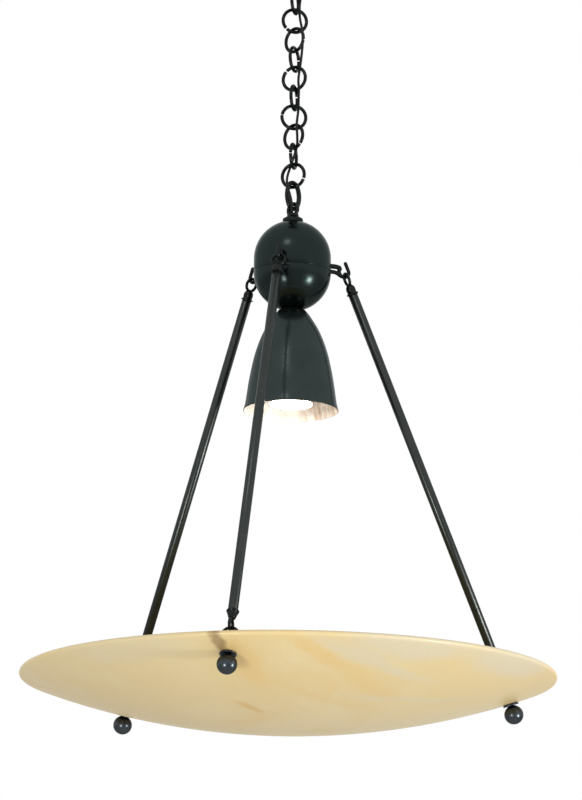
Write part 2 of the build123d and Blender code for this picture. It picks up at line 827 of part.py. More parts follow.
# Bowl: a shallow dish of even wall with a rounded rim and three bolt holes
def make_bowl():
    inner_curve = bowl_curve - bowl_wall
    rim_angle = math.asin(bowl_edge_radius / bowl_middle_curve)

    def on_curve(curve, angle):
        return (curve * math.sin(angle), bowl_centre_z - curve * math.cos(angle))

    edge_centre = on_curve(bowl_middle_curve, rim_angle)
    rim_end = (
        edge_centre[0] + bowl_wall / 2 * math.cos(rim_angle),
        edge_centre[1] + bowl_wall / 2 * math.sin(rim_angle),
    )
    outside = ThreePointArc(
        on_curve(bowl_curve, 0), on_curve(bowl_curve, rim_angle / 2), on_curve(bowl_curve, rim_angle)
    )
    inside = ThreePointArc(
        on_curve(inner_curve, rim_angle), on_curve(inner_curve, rim_angle / 2), on_curve(inner_curve, 0)
    )
    rim = ThreePointArc(outside @ 1, rim_end, inside @ 0)
    centre_line = Line(inside @ 1, outside @ 0)
    bowl = revolve(Plane.XZ * make_face([outside, rim, inside, centre_line]), Axis.Z)
    hole = Cylinder(bowl_hole_diameter / 2, 4 * bowl_wall)
    for angle in arm_angles():
        bowl -= bolt_place(angle) * hole
    return bowl


def bolt_place(arm_angle):
    """The frame of one bolt: origin on the bowl's outside, Z into the bowl along its axis."""
    sine, cosine = math.sin(bolt_tilt), math.cos(bolt_tilt)
    origin = (bolt_circle_radius, 0, bolt_z)
    axis = Plane(origin, x_dir=(cosine, 0, sine), z_dir=(-sine, 0, cosine))
    return Rot(0, 0, arm_angle) * axis.location


# Heights of the stack on each bolt, from the bowl's outside
inner_gasket_z = bowl_wall + glass_seat_clearance
inner_washer_z = inner_gasket_z + gasket_thickness
bowl_nut_z = inner_washer_z + inner_washer_thickness
collar_foot_z = bowl_nut_z + bowl_nut_height
flange_washer_z = -outer_gasket_thickness - flange_washer_thickness
finial_centre_z = flange_washer_z - finial_diameter / 2 + finial_seat_sink
bolt_end_z = finial_centre_z - bolt_past_finial_centre


def make_eye_bolt():
    ring_z = bowl_wall + bolt_ring_height
    ring = Pos(0, 0, ring_z) * Rot(0, 0, 90) * upright_ring(bolt_ring_mid_radius, eye_wire)
    ring_foot = ring_z - bolt_ring_mid_radius
    outline = [
        (0, ring_foot),
        (eye_root_diameter / 2, ring_foot),
        (bolt_diameter / 2, collar_foot_z),
        (bolt_diameter / 2, bolt_end_z),
        (0, bolt_end_z),
    ]
    return turned_profile(outline) + ring


def make_finial():
    ball = Pos(0, 0, finial_centre_z) * Sphere(finial_diameter / 2)
    ball -= Pos(0, 0, flange_washer_z) * Cylinder(
        finial_diameter, finial_diameter, align=(Align.CENTER, Align.CENTER, Align.MIN)
    )
    tapped = disc(bolt_diameter + 2 * thread_clearance, bolt_end_z - hole_clearance, 0)
    return ball - tapped


def washer_stack():
    """The loose discs on each bolt, as (name, diameter, bottom, top)."""
    return [
        ("inner_gaskets", gasket_diameter, inner_gasket_z, inner_washer_z),
        ("inner_washers", inner_washer_diameter, inner_washer_z, bowl_nut_z),
        ("outer_gaskets", gasket_diameter, -outer_gasket_thickness, 0.0),
        ("flange_washers", flange_washer_diameter, flange_washer_z, -outer_gasket_thickness),
    ]


# Cord: one round tube of straight runs joined by tangent arcs
def cord_radii():
    points = [Vector(*point) for point in cord_route]
    bend_share = 0.45
    radii = []
    for before, here, after in zip(points, points[1:], points[2:]):
        run_in, run_out = here - before, after - here
        half_turn = math.radians(run_in.get_angle(run_out)) / 2
        radii.append(bend_share * min(run_in.length, run_out.length) / math.tan(half_turn))
    return radii


def make_cord():
    route = cord_route[:-1] + [(0.0, 0.0, holder_top_z - holder_entry_depth)]
    path = FilletPolyline(*route, radius=cord_radii())
    section = Plane(origin=path @ 0, z_dir=path % 0) * Circle(cord_diameter / 2)
    cord = sweep(section, path)
    true_volume = math.pi * cord_diameter**2 / 4 * path.length
    print("cord radii", [round(radius) for radius in cord_radii()])
    print("cord length", round(path.length, 1), "volume share", round(cord.volume / true_volume, 4))
    return cord


# The ceiling fitting
save("ceiling_crossbar", make_crossbar())
save("ground_screw", make_ground_screw())
save("canopy_nipple", disc(nipple_diameter, collar_bottom - loop_socket_depth, 0, nipple_bore))
save("nipple_locknut", stem_nut(crossbar_bottom))
save("canopy", make_canopy())
save("canopy_collar", make_collar())
save("canopy_loop", make_canopy_loop())

# The chain
for ring_index in range(ring_count):
    save(f"chain_ring_{ring_index + 1:02d}", make_ring(ring_index))
save("chain_connector", make_connector())

# The body
save("body_loop", make_body_loop())
save("upper_shell", make_upper_shell())
save("lower_shell", make_lower_shell())
save("hook_hub", make_hub())
hook_shape = make_hook()
for arm_name, arm_angle in zip(arm_names, arm_angles()):
    save(f"{arm_name}_hook", Rot(0, 0, arm_angle) * hook_shape)
save("stem_nipple", disc(nipple_diameter, stem_end_z, stem_top_z, nipple_bore))
shell_curve = ball_radius - ball_wall
nut_corner = nut_across_flats / math.sqrt(3)
nut_tops = [
    upper_centre + math.sqrt(shell_curve**2 - nut_corner**2),
    hook_root_z + hub_height / 2 + nut_height,
    hook_root_z - hub_height / 2,
    ball_bottom - shade_top_thickness,
    bracket_plate_z + bracket_thickness + nut_height,
    bracket_plate_z,
]
save("stem_nuts", [stem_nut(top) for top in nut_tops])
save("shade", make_shade())
save("lamp_bracket", make_bracket())
save("lamp_holder", make_holder())
save("holder_screws", make_holder_screws())
save("lamp", make_lamp())
save("lamp_lens", make_lens())

# The rods
upper_eye_shape = make_upper_eye()
lower_eye_shape = make_lower_eye()
tube_shape = make_rod_tube()
for arm_name, arm_angle in zip(arm_names, arm_angles()):
    upper_place = rod_place(arm_angle, upper_eye_drop)
    lower_place = rod_place(arm_angle, upper_eye_drop + rod_eye_to_eye)
    save(f"{arm_name}_rod_upper_eye", upper_place * upper_eye_shape)
    save(f"{arm_name}_rod_tube", upper_place * tube_shape)
    save(f"{arm_name}_rod_lower_eye", lower_place * lower_eye_shape)

# The bowl and its fasteners
save("bowl", make_bowl())
eye_bolt_shape = make_eye_bolt()
finial_shape = make_finial()
save("eye_bolts", [bolt_place(angle) * eye_bolt_shape for angle in arm_angles()])
for disc_name, diameter, bottom, top in washer_stack():
    washer = disc(diameter, bottom, top, bolt_diameter + 2 * hole_clearance)
    save(disc_name, [bolt_place(angle) * washer for angle in arm_angles()])
bowl_nut = hex_nut(collar_foot_z, bowl_nut_height, bowl_nut_across_flats, bolt_diameter)
save("bowl_nuts", [bolt_place(angle) * bowl_nut for angle in arm_angles()])
save("finial_balls", [bolt_place(angle) * finial_shape for angle in arm_angles()])

# The cord
save("power_cord", make_cord())
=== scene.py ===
import math

import bmesh
import bpy
from mathutils import Matrix, Vector
from mathutils.geometry import interpolate_bezier


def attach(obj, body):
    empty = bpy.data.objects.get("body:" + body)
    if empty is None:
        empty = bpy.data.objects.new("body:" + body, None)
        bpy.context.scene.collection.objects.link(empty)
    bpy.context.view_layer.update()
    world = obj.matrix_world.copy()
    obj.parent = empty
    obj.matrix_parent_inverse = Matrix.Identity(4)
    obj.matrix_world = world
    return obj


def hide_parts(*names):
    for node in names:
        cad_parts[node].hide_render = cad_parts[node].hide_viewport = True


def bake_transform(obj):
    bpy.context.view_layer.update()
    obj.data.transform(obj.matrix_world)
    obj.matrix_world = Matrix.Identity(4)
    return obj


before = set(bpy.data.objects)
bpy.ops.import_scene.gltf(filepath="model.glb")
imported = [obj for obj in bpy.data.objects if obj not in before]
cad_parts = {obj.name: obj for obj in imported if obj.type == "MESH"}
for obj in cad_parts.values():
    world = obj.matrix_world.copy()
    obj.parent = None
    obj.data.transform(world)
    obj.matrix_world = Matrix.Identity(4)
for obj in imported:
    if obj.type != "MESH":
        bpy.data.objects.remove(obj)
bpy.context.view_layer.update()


# The camera stands four metres in front of the lamp and below the bowl's rim, and looks up,
# so the bowl's underside and the shade's mouth show and the bowl's inside doesn't.
camera_place = (0.0, -4.0, -1.5627)
camera_pitch = 13.585
camera_roll = 0.58
camera = bpy.data.cameras.new("camera")
camera.lens = 160.3
camera.sensor_width = 36
camera.clip_end = 200
camera_object = bpy.data.objects.new("camera", camera)
camera_object.matrix_world = (
    Matrix.Translation(camera_place)
    @ Matrix.Rotation(math.radians(90 + camera_pitch), 4, "X")
    @ Matrix.Rotation(math.radians(camera_roll), 4, "Z")
)
bpy.context.collection.objects.link(camera_object)
bpy.context.scene.camera = camera_object
bpy.context.scene.view_settings.view_transform = "Standard"


# The cord is a flexible lead in a black woven sleeve, 3 mm thick. It hangs from the canopy,
# slips in and out of the chain's rings and goes down the threaded tube to the lamp holder.
cord_diameter = 3.0
cord_black = "#0F1011"
cord_painted_sheen_black = "#1B1C1E"
cord_route = [
    (0.0, 0.0, 0.0),
    (0.0, 0.0, -14.0),
    (-0.1, 0.0, -28.0),
    (-0.6, 1.9, -40.0),
    (2.3, 6.8, -50.0),
    (4.5, 9.4, -61.0),
    (6.2, 10.3, -73.0),
    (7.3, 10.1, -85.0),
    (7.4, 9.3, -97.0),
    (5.6, 8.7, -109.0),
    (5.4, 6.4, -121.0),
    (6.2, -1.3, -133.0),
    (8.2, -10.9, -145.0),
    (9.6, -14.9, -157.0),
    (9.4, -11.8, -169.0),
    (8.1, -4.3, -181.0),
    (6.4, 2.4, -193.0),
    (4.6, 4.9, -205.0),
    (5.7, 5.7, -217.0),
    (5.3, 7.2, -229.0),
    (5.4, 5.7, -241.0),
    (4.4, -2.4, -253.0),
    (3.2, -9.5, -265.0),
    (4.2, -6.7, -277.0),
    (4.5, 1.2, -289.0),
    (0.1, 7.2, -301.0),
    (-3.6, 7.3, -313.0),
    (-6.8, -0.6, -325.0),
    (-7.7, -10.5, -337.0),
    (-5.7, -15.5, -347.0),
    (-2.8, -15.2, -356.0),
    (-1.2, -10.7, -364.0),
    (-1.5, -2.7, -371.0),
    (0.0, 0.0, -379.0),
    (0.3, 0.2, -391.0),
    (0.4, -0.5, -411.0),
    (0.1, -0.3, -445.0),
    (-0.4, 0.3, -480.0),
    (0.0, 0.0, -508.0),
    (0.0, 0.0, -532.8),
]
ring_heights = [-62.025 - 23.95 * i for i in range(12)]
connector_middle = -350.2
ring_bodies = [f"ring_{i + 1:02d}" for i in range(12)]


def linear(colour):
    """An sRGB hex colour as linear values with an alpha of 1."""
    values = [int(colour[i : i + 2], 16) / 255 for i in (1, 3, 5)]
    return tuple(v / 12.92 if v <= 0.04045 else ((v + 0.055) / 1.055) ** 2.4 for v in values) + (1,)


def add(material, kind, sockets=None, **settings):
    """Adds one node, with its settings, its sockets' values and the outputs linked into them."""
    node = material.node_tree.nodes.new("ShaderNode" + kind)
    for name, value in settings.items():
        setattr(node, name, value)
    for name, value in (sockets or {}).items():
        if isinstance(value, bpy.types.NodeSocket):
            material.node_tree.links.new(value, node.inputs[name])
        else:
            node.inputs[name].default_value = linear(value) if isinstance(value, str) else value
    return node


def new_finish(name, **shader):
    """A material, its shader with constant sockets, and the object coordinates in metres."""
    material = bpy.data.materials.new(name)
    material.use_nodes = True
    principled = material.node_tree.nodes["Principled BSDF"]
    for socket, value in shader.items():
        socket = socket.replace("_", " ")
        principled.inputs[socket].default_value = linear(value) if isinstance(value, str) else value
    place = add(material, "TexCoord").outputs["Object"]
    return material, principled, place


def finish_piece(name, shape, material, body, slot, *nodes):
    """Makes one object from a bmesh in millimetres, in place, and hands it to its CAD body."""
    bmesh.ops.scale(shape, vec=(0.001, 0.001, 0.001), verts=shape.verts)
    mesh = bpy.data.meshes.new(name)
    shape.to_mesh(mesh)
    shape.free()
    mesh.shade_smooth()
    piece = bpy.data.objects.new(name, mesh)
    bpy.context.collection.objects.link(piece)
    for one in material if isinstance(material, list) else [material]:
        mesh.materials.append(one)
    if isinstance(body, str):
        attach(piece, body)
    if nodes:
        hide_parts(*nodes)
    return piece


# Woven sleeve: matt black yarn braided both ways round the lead. The strands come out 5.7 mm
# apart and not 0.9: a wave repeats every tau / 20, and the scale below leaves tau out.
braid, braid_shader, place = new_finish(
    "woven_black_sleeve", Roughness=0.78, Specular_IOR_Level=0.25, Sheen_Weight=0.05
)
lean_right = add(braid, "Mapping", {"Vector": place, "Rotation": (0, math.radians(40), 0)})
lean_left = add(braid, "Mapping", {"Vector": place, "Rotation": (0, math.radians(-40), 0)})
strand_scale = 1000 / 0.9 / 20
strands = [
    add(braid, "TexWave", {"Vector": turned.outputs[0], "Scale": strand_scale}, bands_direction="Z")
    for turned in (lean_right, lean_left)
]
crossing = add(
    braid, "Math", {0: strands[0].outputs["Fac"], 1: strands[1].outputs["Fac"]}, operation="MULTIPLY"
)
# Painted sheen: the black is lighter where the strands cross and stand up
yarn = add(
    braid, "Mix", {0: crossing.outputs[0], 6: cord_black, 7: cord_painted_sheen_black}, data_type="RGBA"
)
braid_relief = add(
    braid, "Bump", {"Height": crossing.outputs[0], "Strength": 0.6, "Distance": 0.0003}
)
braid.node_tree.links.new(yarn.outputs[2], braid_shader.inputs["Base Color"])
braid.node_tree.links.new(braid_relief.outputs[0], braid_shader.inputs["Normal"])

cord_line = bpy.data.curves.new("power_cord", "CURVE")
cord_line.dimensions = "3D"
spline = cord_line.splines.new("NURBS")
spline.points.add(len(cord_route) - 1)
for control, (x, y, z) in zip(spline.points, cord_route):
    control.co = (x, y, z, 1)
spline.order_u = 3
spline.use_endpoint_u = True
cord_line.resolution_u = 5
cord_line.bevel_depth = cord_diameter / 2
cord_line.bevel_resolution = 3
cord_line.use_fill_caps = True
cord_object = bpy.data.objects.new("power_cord", cord_line)
cord_tube = bpy.data.meshes.new_from_object(cord_object)

# The tube is cut at the middle of each ring, into one length for each two neighbouring holders
bend_inset = 2
first_bend, last_bend = -45, -380
cord_cuts = ring_heights + [connector_middle]
cord_holders = ["ceiling_fitting"] + ring_bodies + ["connector", "lamp_body"]
for i, (upper_body, lower_body) in enumerate(zip(cord_holders, cord_holders[1:])):
    length = bmesh.new()
    length.from_mesh(cord_tube)
    upper_cut = cord_cuts[i - 1] if i else None
    lower_cut = cord_cuts[i] if i < len(cord_cuts) else None
    for height, side in ((upper_cut, 1), (lower_cut, -1)):
        if height is not None:
            cut = bmesh.ops.bisect_plane(
                length,
                geom=length.verts[:] + length.edges[:] + length.faces[:],
                plane_co=(0, 0, height),
                plane_no=(0, 0, side),
                clear_outer=True,
            )
            rim = [e for e in cut["geom_cut"] if isinstance(e, bmesh.types.BMEdge)]
            bmesh.ops.holes_fill(length, edges=rim, sides=0)
    bmesh.ops.recalc_face_normals(length, faces=length.faces)
    top = first_bend if upper_cut is None else upper_cut - bend_inset
    bottom = last_bend if lower_cut is None else lower_cut + bend_inset
    piece = finish_piece(f"power_cord_{i + 1:02d}", length, braid, None, "black_cord")
    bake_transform(piece)
    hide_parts("power_cord")


# The ceiling fitting: a zinc-plated steel crossbar with its earth screw, a threaded tube and
# its locknut, all hidden in the canopy once the canopy is pushed up against the ceiling.
# Zinc plate is a pale grey metal with a faint 4 mm spangle, so that it shines unevenly.
zinc, zinc_shader, place = new_finish("zinc_plated_steel", Metallic=1.0)
spangle = add(zinc, "TexVoronoi", {"Vector": place, "Scale": 1000 / 4})
smear = add(zinc, "TexNoise", {"Vector": place, "Scale": 1000 / 12, "Detail": 4})
zinc_tone = add(
    zinc,
    "Mix",
    {0: smear.outputs["Fac"], 6: "#A9A9A4", 7: "#C9C7BE"},
    data_type="RGBA",
)
zinc_rough = add(
    zinc, "MapRange", {"Value": spangle.outputs["Distance"], "To Min": 0.32, "To Max": 0.5}
)
zinc.node_tree.links.new(zinc_tone.outputs[2], zinc_shader.inputs["Base Color"])
zinc.node_tree.links.new(zinc_rough.outputs[0], zinc_shader.inputs["Roughness"])


def refinish(material, *nodes):
    """Gives CAD nodes that stay as they are their real finish."""
    for node in nodes:
        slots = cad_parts[node].data.materials
        slots.clear()
        slots.append(material)


refinish(zinc, "ceiling_crossbar", "ground_screw", "canopy_nipple", "nipple_locknut")


# The canopy is a dome spun from thin brass with its rim turned in, patinated dark bronze and
# lacquered. The lathe leaves faint rings round it, and the patina is a little uneven.
canopy_radius = 63.5
canopy_depth = 26.2
canopy_wall = 1.0
bronze_dark = "#1A201F"
bronze_light = "#293130"
bronze_rub = "#4C483D"


def spun(points, steps=96, turn=360.0):
    """A shape turned about Z from a closed outline of (radius, height) points."""
    shape = bmesh.new()
    verts = [shape.verts.new((r, 0, z)) for r, z in points]
    edges = [shape.edges.new(pair) for pair in zip(verts, verts[1:] + verts[:1])]
    bmesh.ops.spin(
        shape,
        geom=verts + edges,
        cent=(0, 0, 0),
        axis=(0, 0, 1),
        angle=math.radians(turn),
        steps=steps,
        use_merge=turn == 360.0,
    )
    bmesh.ops.remove_doubles(shape, verts=shape.verts, dist=0.0005)
    bmesh.ops.dissolve_degenerate(shape, edges=shape.edges, dist=0.0001)
    bmesh.ops.recalc_face_normals(shape, faces=shape.faces)
    return shape


def through(points, steps=8):
    """Points on a smooth line through the given (radius, height) points."""
    line = []
    for i in range(len(points) - 1):
        here, there = Vector(points[i]), Vector(points[i + 1])
        before = Vector(points[max(i - 1, 0)])
        after = Vector(points[min(i + 2, len(points) - 1)])
        span = (there - here).length
        handle = here + (there - before).normalized() * span / 3
        handle_after = there - (after - here).normalized() * span / 3
        line += interpolate_bezier(here, handle, handle_after, there, steps)[: steps - 1]
    return [tuple(point[:2]) for point in line] + [points[-1]]


def arc(centre, radius, start, end, steps):
    """Points of a circle about a (radius, height) centre, with angles from +R towards +Z."""
    points = []
    for i in range(steps + 1):
        angle = math.radians(start + (end - start) * i / steps)
        points.append((centre[0] + radius * math.cos(angle), centre[1] + radius * math.sin(angle)))
    return points


def patinated(name, dark, light, rub, roughness, grain, grain_stretch, relief):
    """Patinated and lacquered brass. The patina is cloudy, and thin where hands and metal rub."""
    material, shader, place = new_finish(
        name, Metallic=0.92, Specular_IOR_Level=0.15, Specular_Tint="#B4BABA",
        Coat_Weight=0.2, Coat_Roughness=0.16,
    )
    cloud = add(
        material, "TexNoise", {"Vector": place, "Scale": 1000 / 28, "Detail": 5, "Roughness": 0.6}
    )
    tone = add(material, "Mix", {0: cloud.outputs["Fac"], 6: dark, 7: light}, data_type="RGBA")
    rubbed = add(
        material, "TexNoise", {"Vector": place, "Scale": 1000 / 9, "Detail": 8, "Roughness": 0.7}
    )
    thin = add(
        material,
        "MapRange",
        {"Value": rubbed.outputs["Fac"], "From Min": 0.6, "From Max": 0.82, "To Max": 0.5},
    )
    colour = add(
        material, "Mix", {0: thin.outputs[0], 6: tone.outputs[2], 7: rub}, data_type="RGBA"
    )
    stretched = add(material, "Mapping", {"Vector": place, "Scale": grain_stretch})
    lines = add(
        material, "TexNoise", {"Vector": stretched.outputs[0], "Scale": 1000 / grain, "Detail": 3}
    )
    gloss = add(
        material,
        "MapRange",
        {
            "Value": lines.outputs["Fac"], "From Min": 0.3, "From Max": 0.7,
            "To Min": roughness - 0.06, "To Max": roughness + 0.08,
        },
    )
    bump = add(
        material, "Bump", {"Height": lines.outputs["Fac"], "Strength": relief, "Distance": 0.0002}
    )
    material.node_tree.links.new(colour.outputs[2], shader.inputs["Base Color"])
    material.node_tree.links.new(gloss.outputs[0], shader.inputs["Roughness"])
    material.node_tree.links.new(bump.outputs[0], shader.inputs["Normal"])
    return material


# Spun and lacquered: rings about 1 mm apart from the lathe tool, drawn no finer so that they show
spun_bronze = patinated(
    "spun_dark_bronze", bronze_dark, bronze_light, bronze_rub, 0.38, 3.0, (0.15, 0.15, 3.0), 0.12
)
outside = through(
    [(canopy_radius, -3.0), (62.7, -8.0), (60.0, -13.6), (54.0, -18.2), (44.0, -22.2), (32.0, -25.0),
     (18.0, -canopy_depth)]
)
inside = [(r - canopy_wall * 0.9, z + canopy_wall * 0.7) for r, z in reversed(outside)]
canopy = spun(
    arc((canopy_radius - 1.0, -1.0), 1.0, 90, 0, 5)
    + outside
    + [(5.3, -canopy_depth), (5.3, -canopy_depth + canopy_wall)]
    + inside
    + [(canopy_radius - 2.0, -1.4), (canopy_radius - 1.6, -0.2)],
    128,
)
finish_piece("canopy", canopy, spun_bronze, "ceiling_fitting", "dark_bronze", "canopy")


# The collar is a small brass ring nut with a milled edge, which a hand screws up under the
# canopy. It has the dark patina of the cast pieces, rubbed lighter in spots.
collar_radius = 10.0
collar_ridges = 40
collar_bore = 5.05
collar_bottom = -31.2
collar = spun(
    [(collar_bore, -canopy_depth), (collar_radius - 0.6, -canopy_depth), (collar_radius, -26.8),
     (collar_radius, -30.6), (collar_radius - 0.6, collar_bottom), (collar_bore, collar_bottom)],
    collar_ridges * 4,
)
for vert in collar.verts:
    angle = math.atan2(vert.co.y, vert.co.x)
    if vert.co.xy.length > collar_radius - 0.3:
        notch = 0.35 * (0.5 - 0.5 * math.cos(angle * collar_ridges))
        vert.co.xy *= 1 - notch / collar_radius
cast_bronze = patinated(
    "cast_dark_bronze", "#121615", "#202524", "#463F33", 0.34, 1.6, (1, 1, 1), 0.3
)
finish_piece("canopy_collar", collar, cast_bronze, "ceiling_fitting", "dark_bronze", "canopy_collar")


# The two loops are cast brass: a trumpet foot with a thread inside grows into an upright eye.
# One screws on under the canopy, and the other on top of the ball. The cord passes through.
loop_mid_radius = 7.0
loop_wire = 5.0
loop_rise = 14.5
loop_foot_radius = 12.0
loop_neck_radius = 6.5
canopy_loop_z = -45.7
body_loop_z = -367.3
canopy_loop_turn = 20.0
body_loop_turn = -44.0


def wire_ring(mid_radius, wire, steps=72, sides=20, split=0.0, split_angle=0.0):
    """A ring of round wire upright in XZ, with flat ends where it is split."""
    ring = bmesh.new()
    gap = split / mid_radius
    section = bmesh.ops.create_circle(
        ring,
        segments=sides,
        radius=wire / 2,
        matrix=Matrix.Translation((mid_radius, 0, 0)),
    )
    bmesh.ops.spin(
        ring,
        geom=section["verts"] + ring.edges[:],
        cent=(0, 0, 0),
        axis=(0, 1, 0),
        angle=math.tau - gap,
        steps=steps,
        use_merge=split == 0,
    )
    bmesh.ops.rotate(
        ring,
        verts=ring.verts,
        cent=(0, 0, 0),
        matrix=Matrix.Rotation(math.radians(-split_angle) + gap / 2, 3, "Y"),
    )
    if split:
        ends = [edge for edge in ring.edges if edge.is_boundary]
        caps = bmesh.ops.holes_fill(ring, edges=ends, sides=0)["faces"]
        rims = [edge for face in caps for edge in face.edges]
        bmesh.ops.bevel(
            ring, geom=rims, offset=wire * 0.07, affect="EDGES", segments=2, profile=0.5, material=-1
        )
    bmesh.ops.remove_doubles(ring, verts=ring.verts, dist=0.0005)
    bmesh.ops.recalc_face_normals(ring, faces=ring.faces)
    return ring


def join(*shapes):
    """Several shapes as one, each freed as it is taken in."""
    whole = bmesh.new()
    for shape in shapes:
        mesh = bpy.data.meshes.new("part")
        shape.to_mesh(mesh)
        shape.free()
        whole.from_mesh(mesh)
        bpy.data.meshes.remove(mesh)
    return whole


def cast(shape, grain, rounds=3, holes=None):
    """Melts overlapping shapes into one skin, with the soft inside corners of a casting."""
    skin = bpy.data.objects.new("cast", bpy.data.meshes.new("cast"))
    shape.to_mesh(skin.data)
    shape.free()
    bpy.context.collection.objects.link(skin)
    if holes:
        drill = bpy.data.objects.new("drill", bpy.data.meshes.new("drill"))
        holes.to_mesh(drill.data)
        holes.free()
        bpy.context.collection.objects.link(drill)
    melt = skin.modifiers.new("melt", "REMESH")
    melt.mode = "VOXEL"
    melt.voxel_size = grain
    if holes:
        bore = skin.modifiers.new("bore", "BOOLEAN")
        bore.object = drill
        bore.solver = "EXACT"
        again = skin.modifiers.new("again", "REMESH")
        again.mode = "VOXEL"
        again.voxel_size = grain
    soften = skin.modifiers.new("soften", "SMOOTH")
    soften.iterations = rounds
    soften.factor = 0.5
    ready = skin.evaluated_get(bpy.context.evaluated_depsgraph_get())
    mesh = bpy.data.meshes.new_from_object(ready)
    result = bmesh.new()
    result.from_mesh(mesh)
    bpy.data.meshes.remove(mesh)
    bpy.data.objects.remove(skin)
    if holes:
        bpy.data.objects.remove(drill)
    return result


def cast_loop(foot_bottom):
    neck_z = -loop_rise + 9.0
    foot_edge = -loop_rise + 3.4
    flare = through(
        [(loop_neck_radius, neck_z), (loop_neck_radius + 1.35, (neck_z + foot_edge) / 2 - 0.5),
         (loop_foot_radius - 0.5, foot_edge)],
        6,
    )
    trumpet = spun(
        [(0, neck_z + 1.2), (loop_neck_radius - 1.2, neck_z + 1.2)]
        + flare
        + [(loop_foot_radius, foot_edge - 0.5), (loop_foot_radius, foot_bottom), (0, foot_bottom)],
        64,
    )
    wireway = spun([(0, -loop_rise - 4), (3.3, -loop_rise - 4), (3.3, -9), (5.5, -3), (0, -3)], 48)
    return cast(join(trumpet, wire_ring(loop_mid_radius, loop_wire)), 0.36, 3, wireway)


for name, body, height, turn, flip, foot_bottom in (
    ("canopy_loop", "ceiling_fitting", canopy_loop_z, canopy_loop_turn, 180, -loop_rise),
    ("body_loop", "lamp_body", body_loop_z, body_loop_turn, 0, -loop_rise - 1.6),
):
    loop = cast_loop(foot_bottom)
    bmesh.ops.transform(
        loop,
        matrix=Matrix.Translation((0, 0, height))
        @ Matrix.Rotation(math.radians(turn), 4, "Z")
        @ Matrix.Rotation(math.radians(flip), 4, "X"),
        verts=loop.verts,
    )
    finish_piece(name, loop, cast_bronze, body, "dark_bronze", name)


# The chain is twelve rings of 4 mm steel wire, each bent round by hand until its sawn ends
# almost meet, then dipped in the dark finish. Each ring hangs turned from the one above.
ring_mid_radius = 14.15
ring_wire = 4.05
ring_split = 1.4
ring_turns = [-62.0, 2.0, 74.0, 12.0, -44.0, 69.0, -23.0, 75.0, 8.0, -42.0, 76.0, -25.0]
ring_splits = [200.0, 20.0, 160.0, 225.0, 350.0, 10.0, 135.0, 20.0, 170.0, 315.0, 180.0, 340.0]

# Drawn wire, blackened: fairly glossy, with rubbed spots where the rings hang on each other
chain_black = patinated(
    "blackened_steel_wire", "#0E1110", "#191D1B", "#3A342B", 0.3, 1.2, (1, 1, 1), 0.25
)
for i, (height, turn, split_angle) in enumerate(zip(ring_heights, ring_turns, ring_splits)):
    ring = wire_ring(ring_mid_radius, ring_wire, 72, 20, ring_split, split_angle)
    bmesh.ops.transform(
        ring,
        matrix=Matrix.Translation((0, 0, height)) @ Matrix.Rotation(math.radians(turn), 4, "Z"),
        verts=ring.verts,
    )
    name = f"chain_ring_{i + 1:02d}"
    finish_piece(name, ring, chain_black, ring_bodies[i], "dark_bronze", name)


# The connector is a heavier oval link, bent from 5.6 mm rod and brazed shut, which joins
# the last ring to the loop on the ball.
connector_wire = 5.6
connector_turn = 46.0
oval_half_width = 9.95
oval_half_height = 15.7
oval_end_radius = 8.0
oval_end_centre = oval_half_height - oval_end_radius
oval_side_radius = (oval_half_width**2 + oval_end_centre**2 - oval_end_radius**2) / (
    2 * (oval_half_width - oval_end_radius)
)
oval_side_centre = oval_side_radius - oval_half_width
side_turn = 2 * math.atan2(oval_end_centre, oval_side_centre)
end_turn = math.pi - side_turn
connector = bmesh.new()
section = bmesh.ops.create_circle(
    connector,
    segments=24,
    radius=connector_wire / 2,
    matrix=Matrix.Translation((0, 0, -oval_half_height)) @ Matrix.Rotation(math.pi / 2, 4, "Y"),
)
link_end = section["verts"] + connector.edges[:]
for centre, angle in (
    ((0, 0, -oval_end_centre), end_turn / 2),
    ((-oval_side_centre, 0, 0), side_turn),
    ((0, 0, oval_end_centre), end_turn),
    ((oval_side_centre, 0, 0), side_turn),
    ((0, 0, -oval_end_centre), end_turn / 2),
):
    link_end = bmesh.ops.spin(
        connector, geom=link_end, cent=centre, axis=(0, -1, 0), angle=angle, steps=round(angle * 12)
    )["geom_last"]
bmesh.ops.remove_doubles(connector, verts=connector.verts, dist=0.001)
bmesh.ops.recalc_face_normals(connector, faces=connector.faces)
bmesh.ops.transform(
    connector,
    matrix=Matrix.Translation((0, 0, connector_middle))
    @ Matrix.Rotation(math.radians(connector_turn), 4, "Z"),
    verts=connector.verts,
)
finish_piece("chain_connector", connector, cast_bronze, "connector", "dark_bronze", "chain_connector")


# The ball is two deep shells spun from brass sheet. The upper one has a straight skirt, and
# the seam between them shows as a fine line at the height of the hooks.
ball_radius = 45.0
ball_wall = 1.2
upper_centre = -426.8
seam_z = -443.8
seam_edge = 0.4
stem_hole = 5.2
crown_angle = math.degrees(math.acos(stem_hole / ball_radius))
inner_crown = math.degrees(math.acos(stem_hole / (ball_radius - ball_wall)))
upper_shell = spun(
    arc((0, upper_centre), ball_radius, crown_angle, 0, 26)
    + [(ball_radius, seam_z + seam_edge), (ball_radius - seam_edge * 0.3, seam_z + seam_edge * 0.3),
       (ball_radius - seam_edge, seam_z), (ball_radius - ball_wall, seam_z)]
    + arc((0, upper_centre), ball_radius - ball_wall, 0, inner_crown, 26),
    128,
)
lower_shell = spun(
    [(ball_radius - ball_wall, seam_z), (ball_radius - seam_edge, seam_z),
     (ball_radius - seam_edge * 0.3, seam_z - seam_edge * 0.3)]
    + arc((0, seam_z), ball_radius, -0.6, -crown_angle, 30)
    + arc((0, seam_z), ball_radius - ball_wall, -inner_crown, 0, 30),
    128,
)
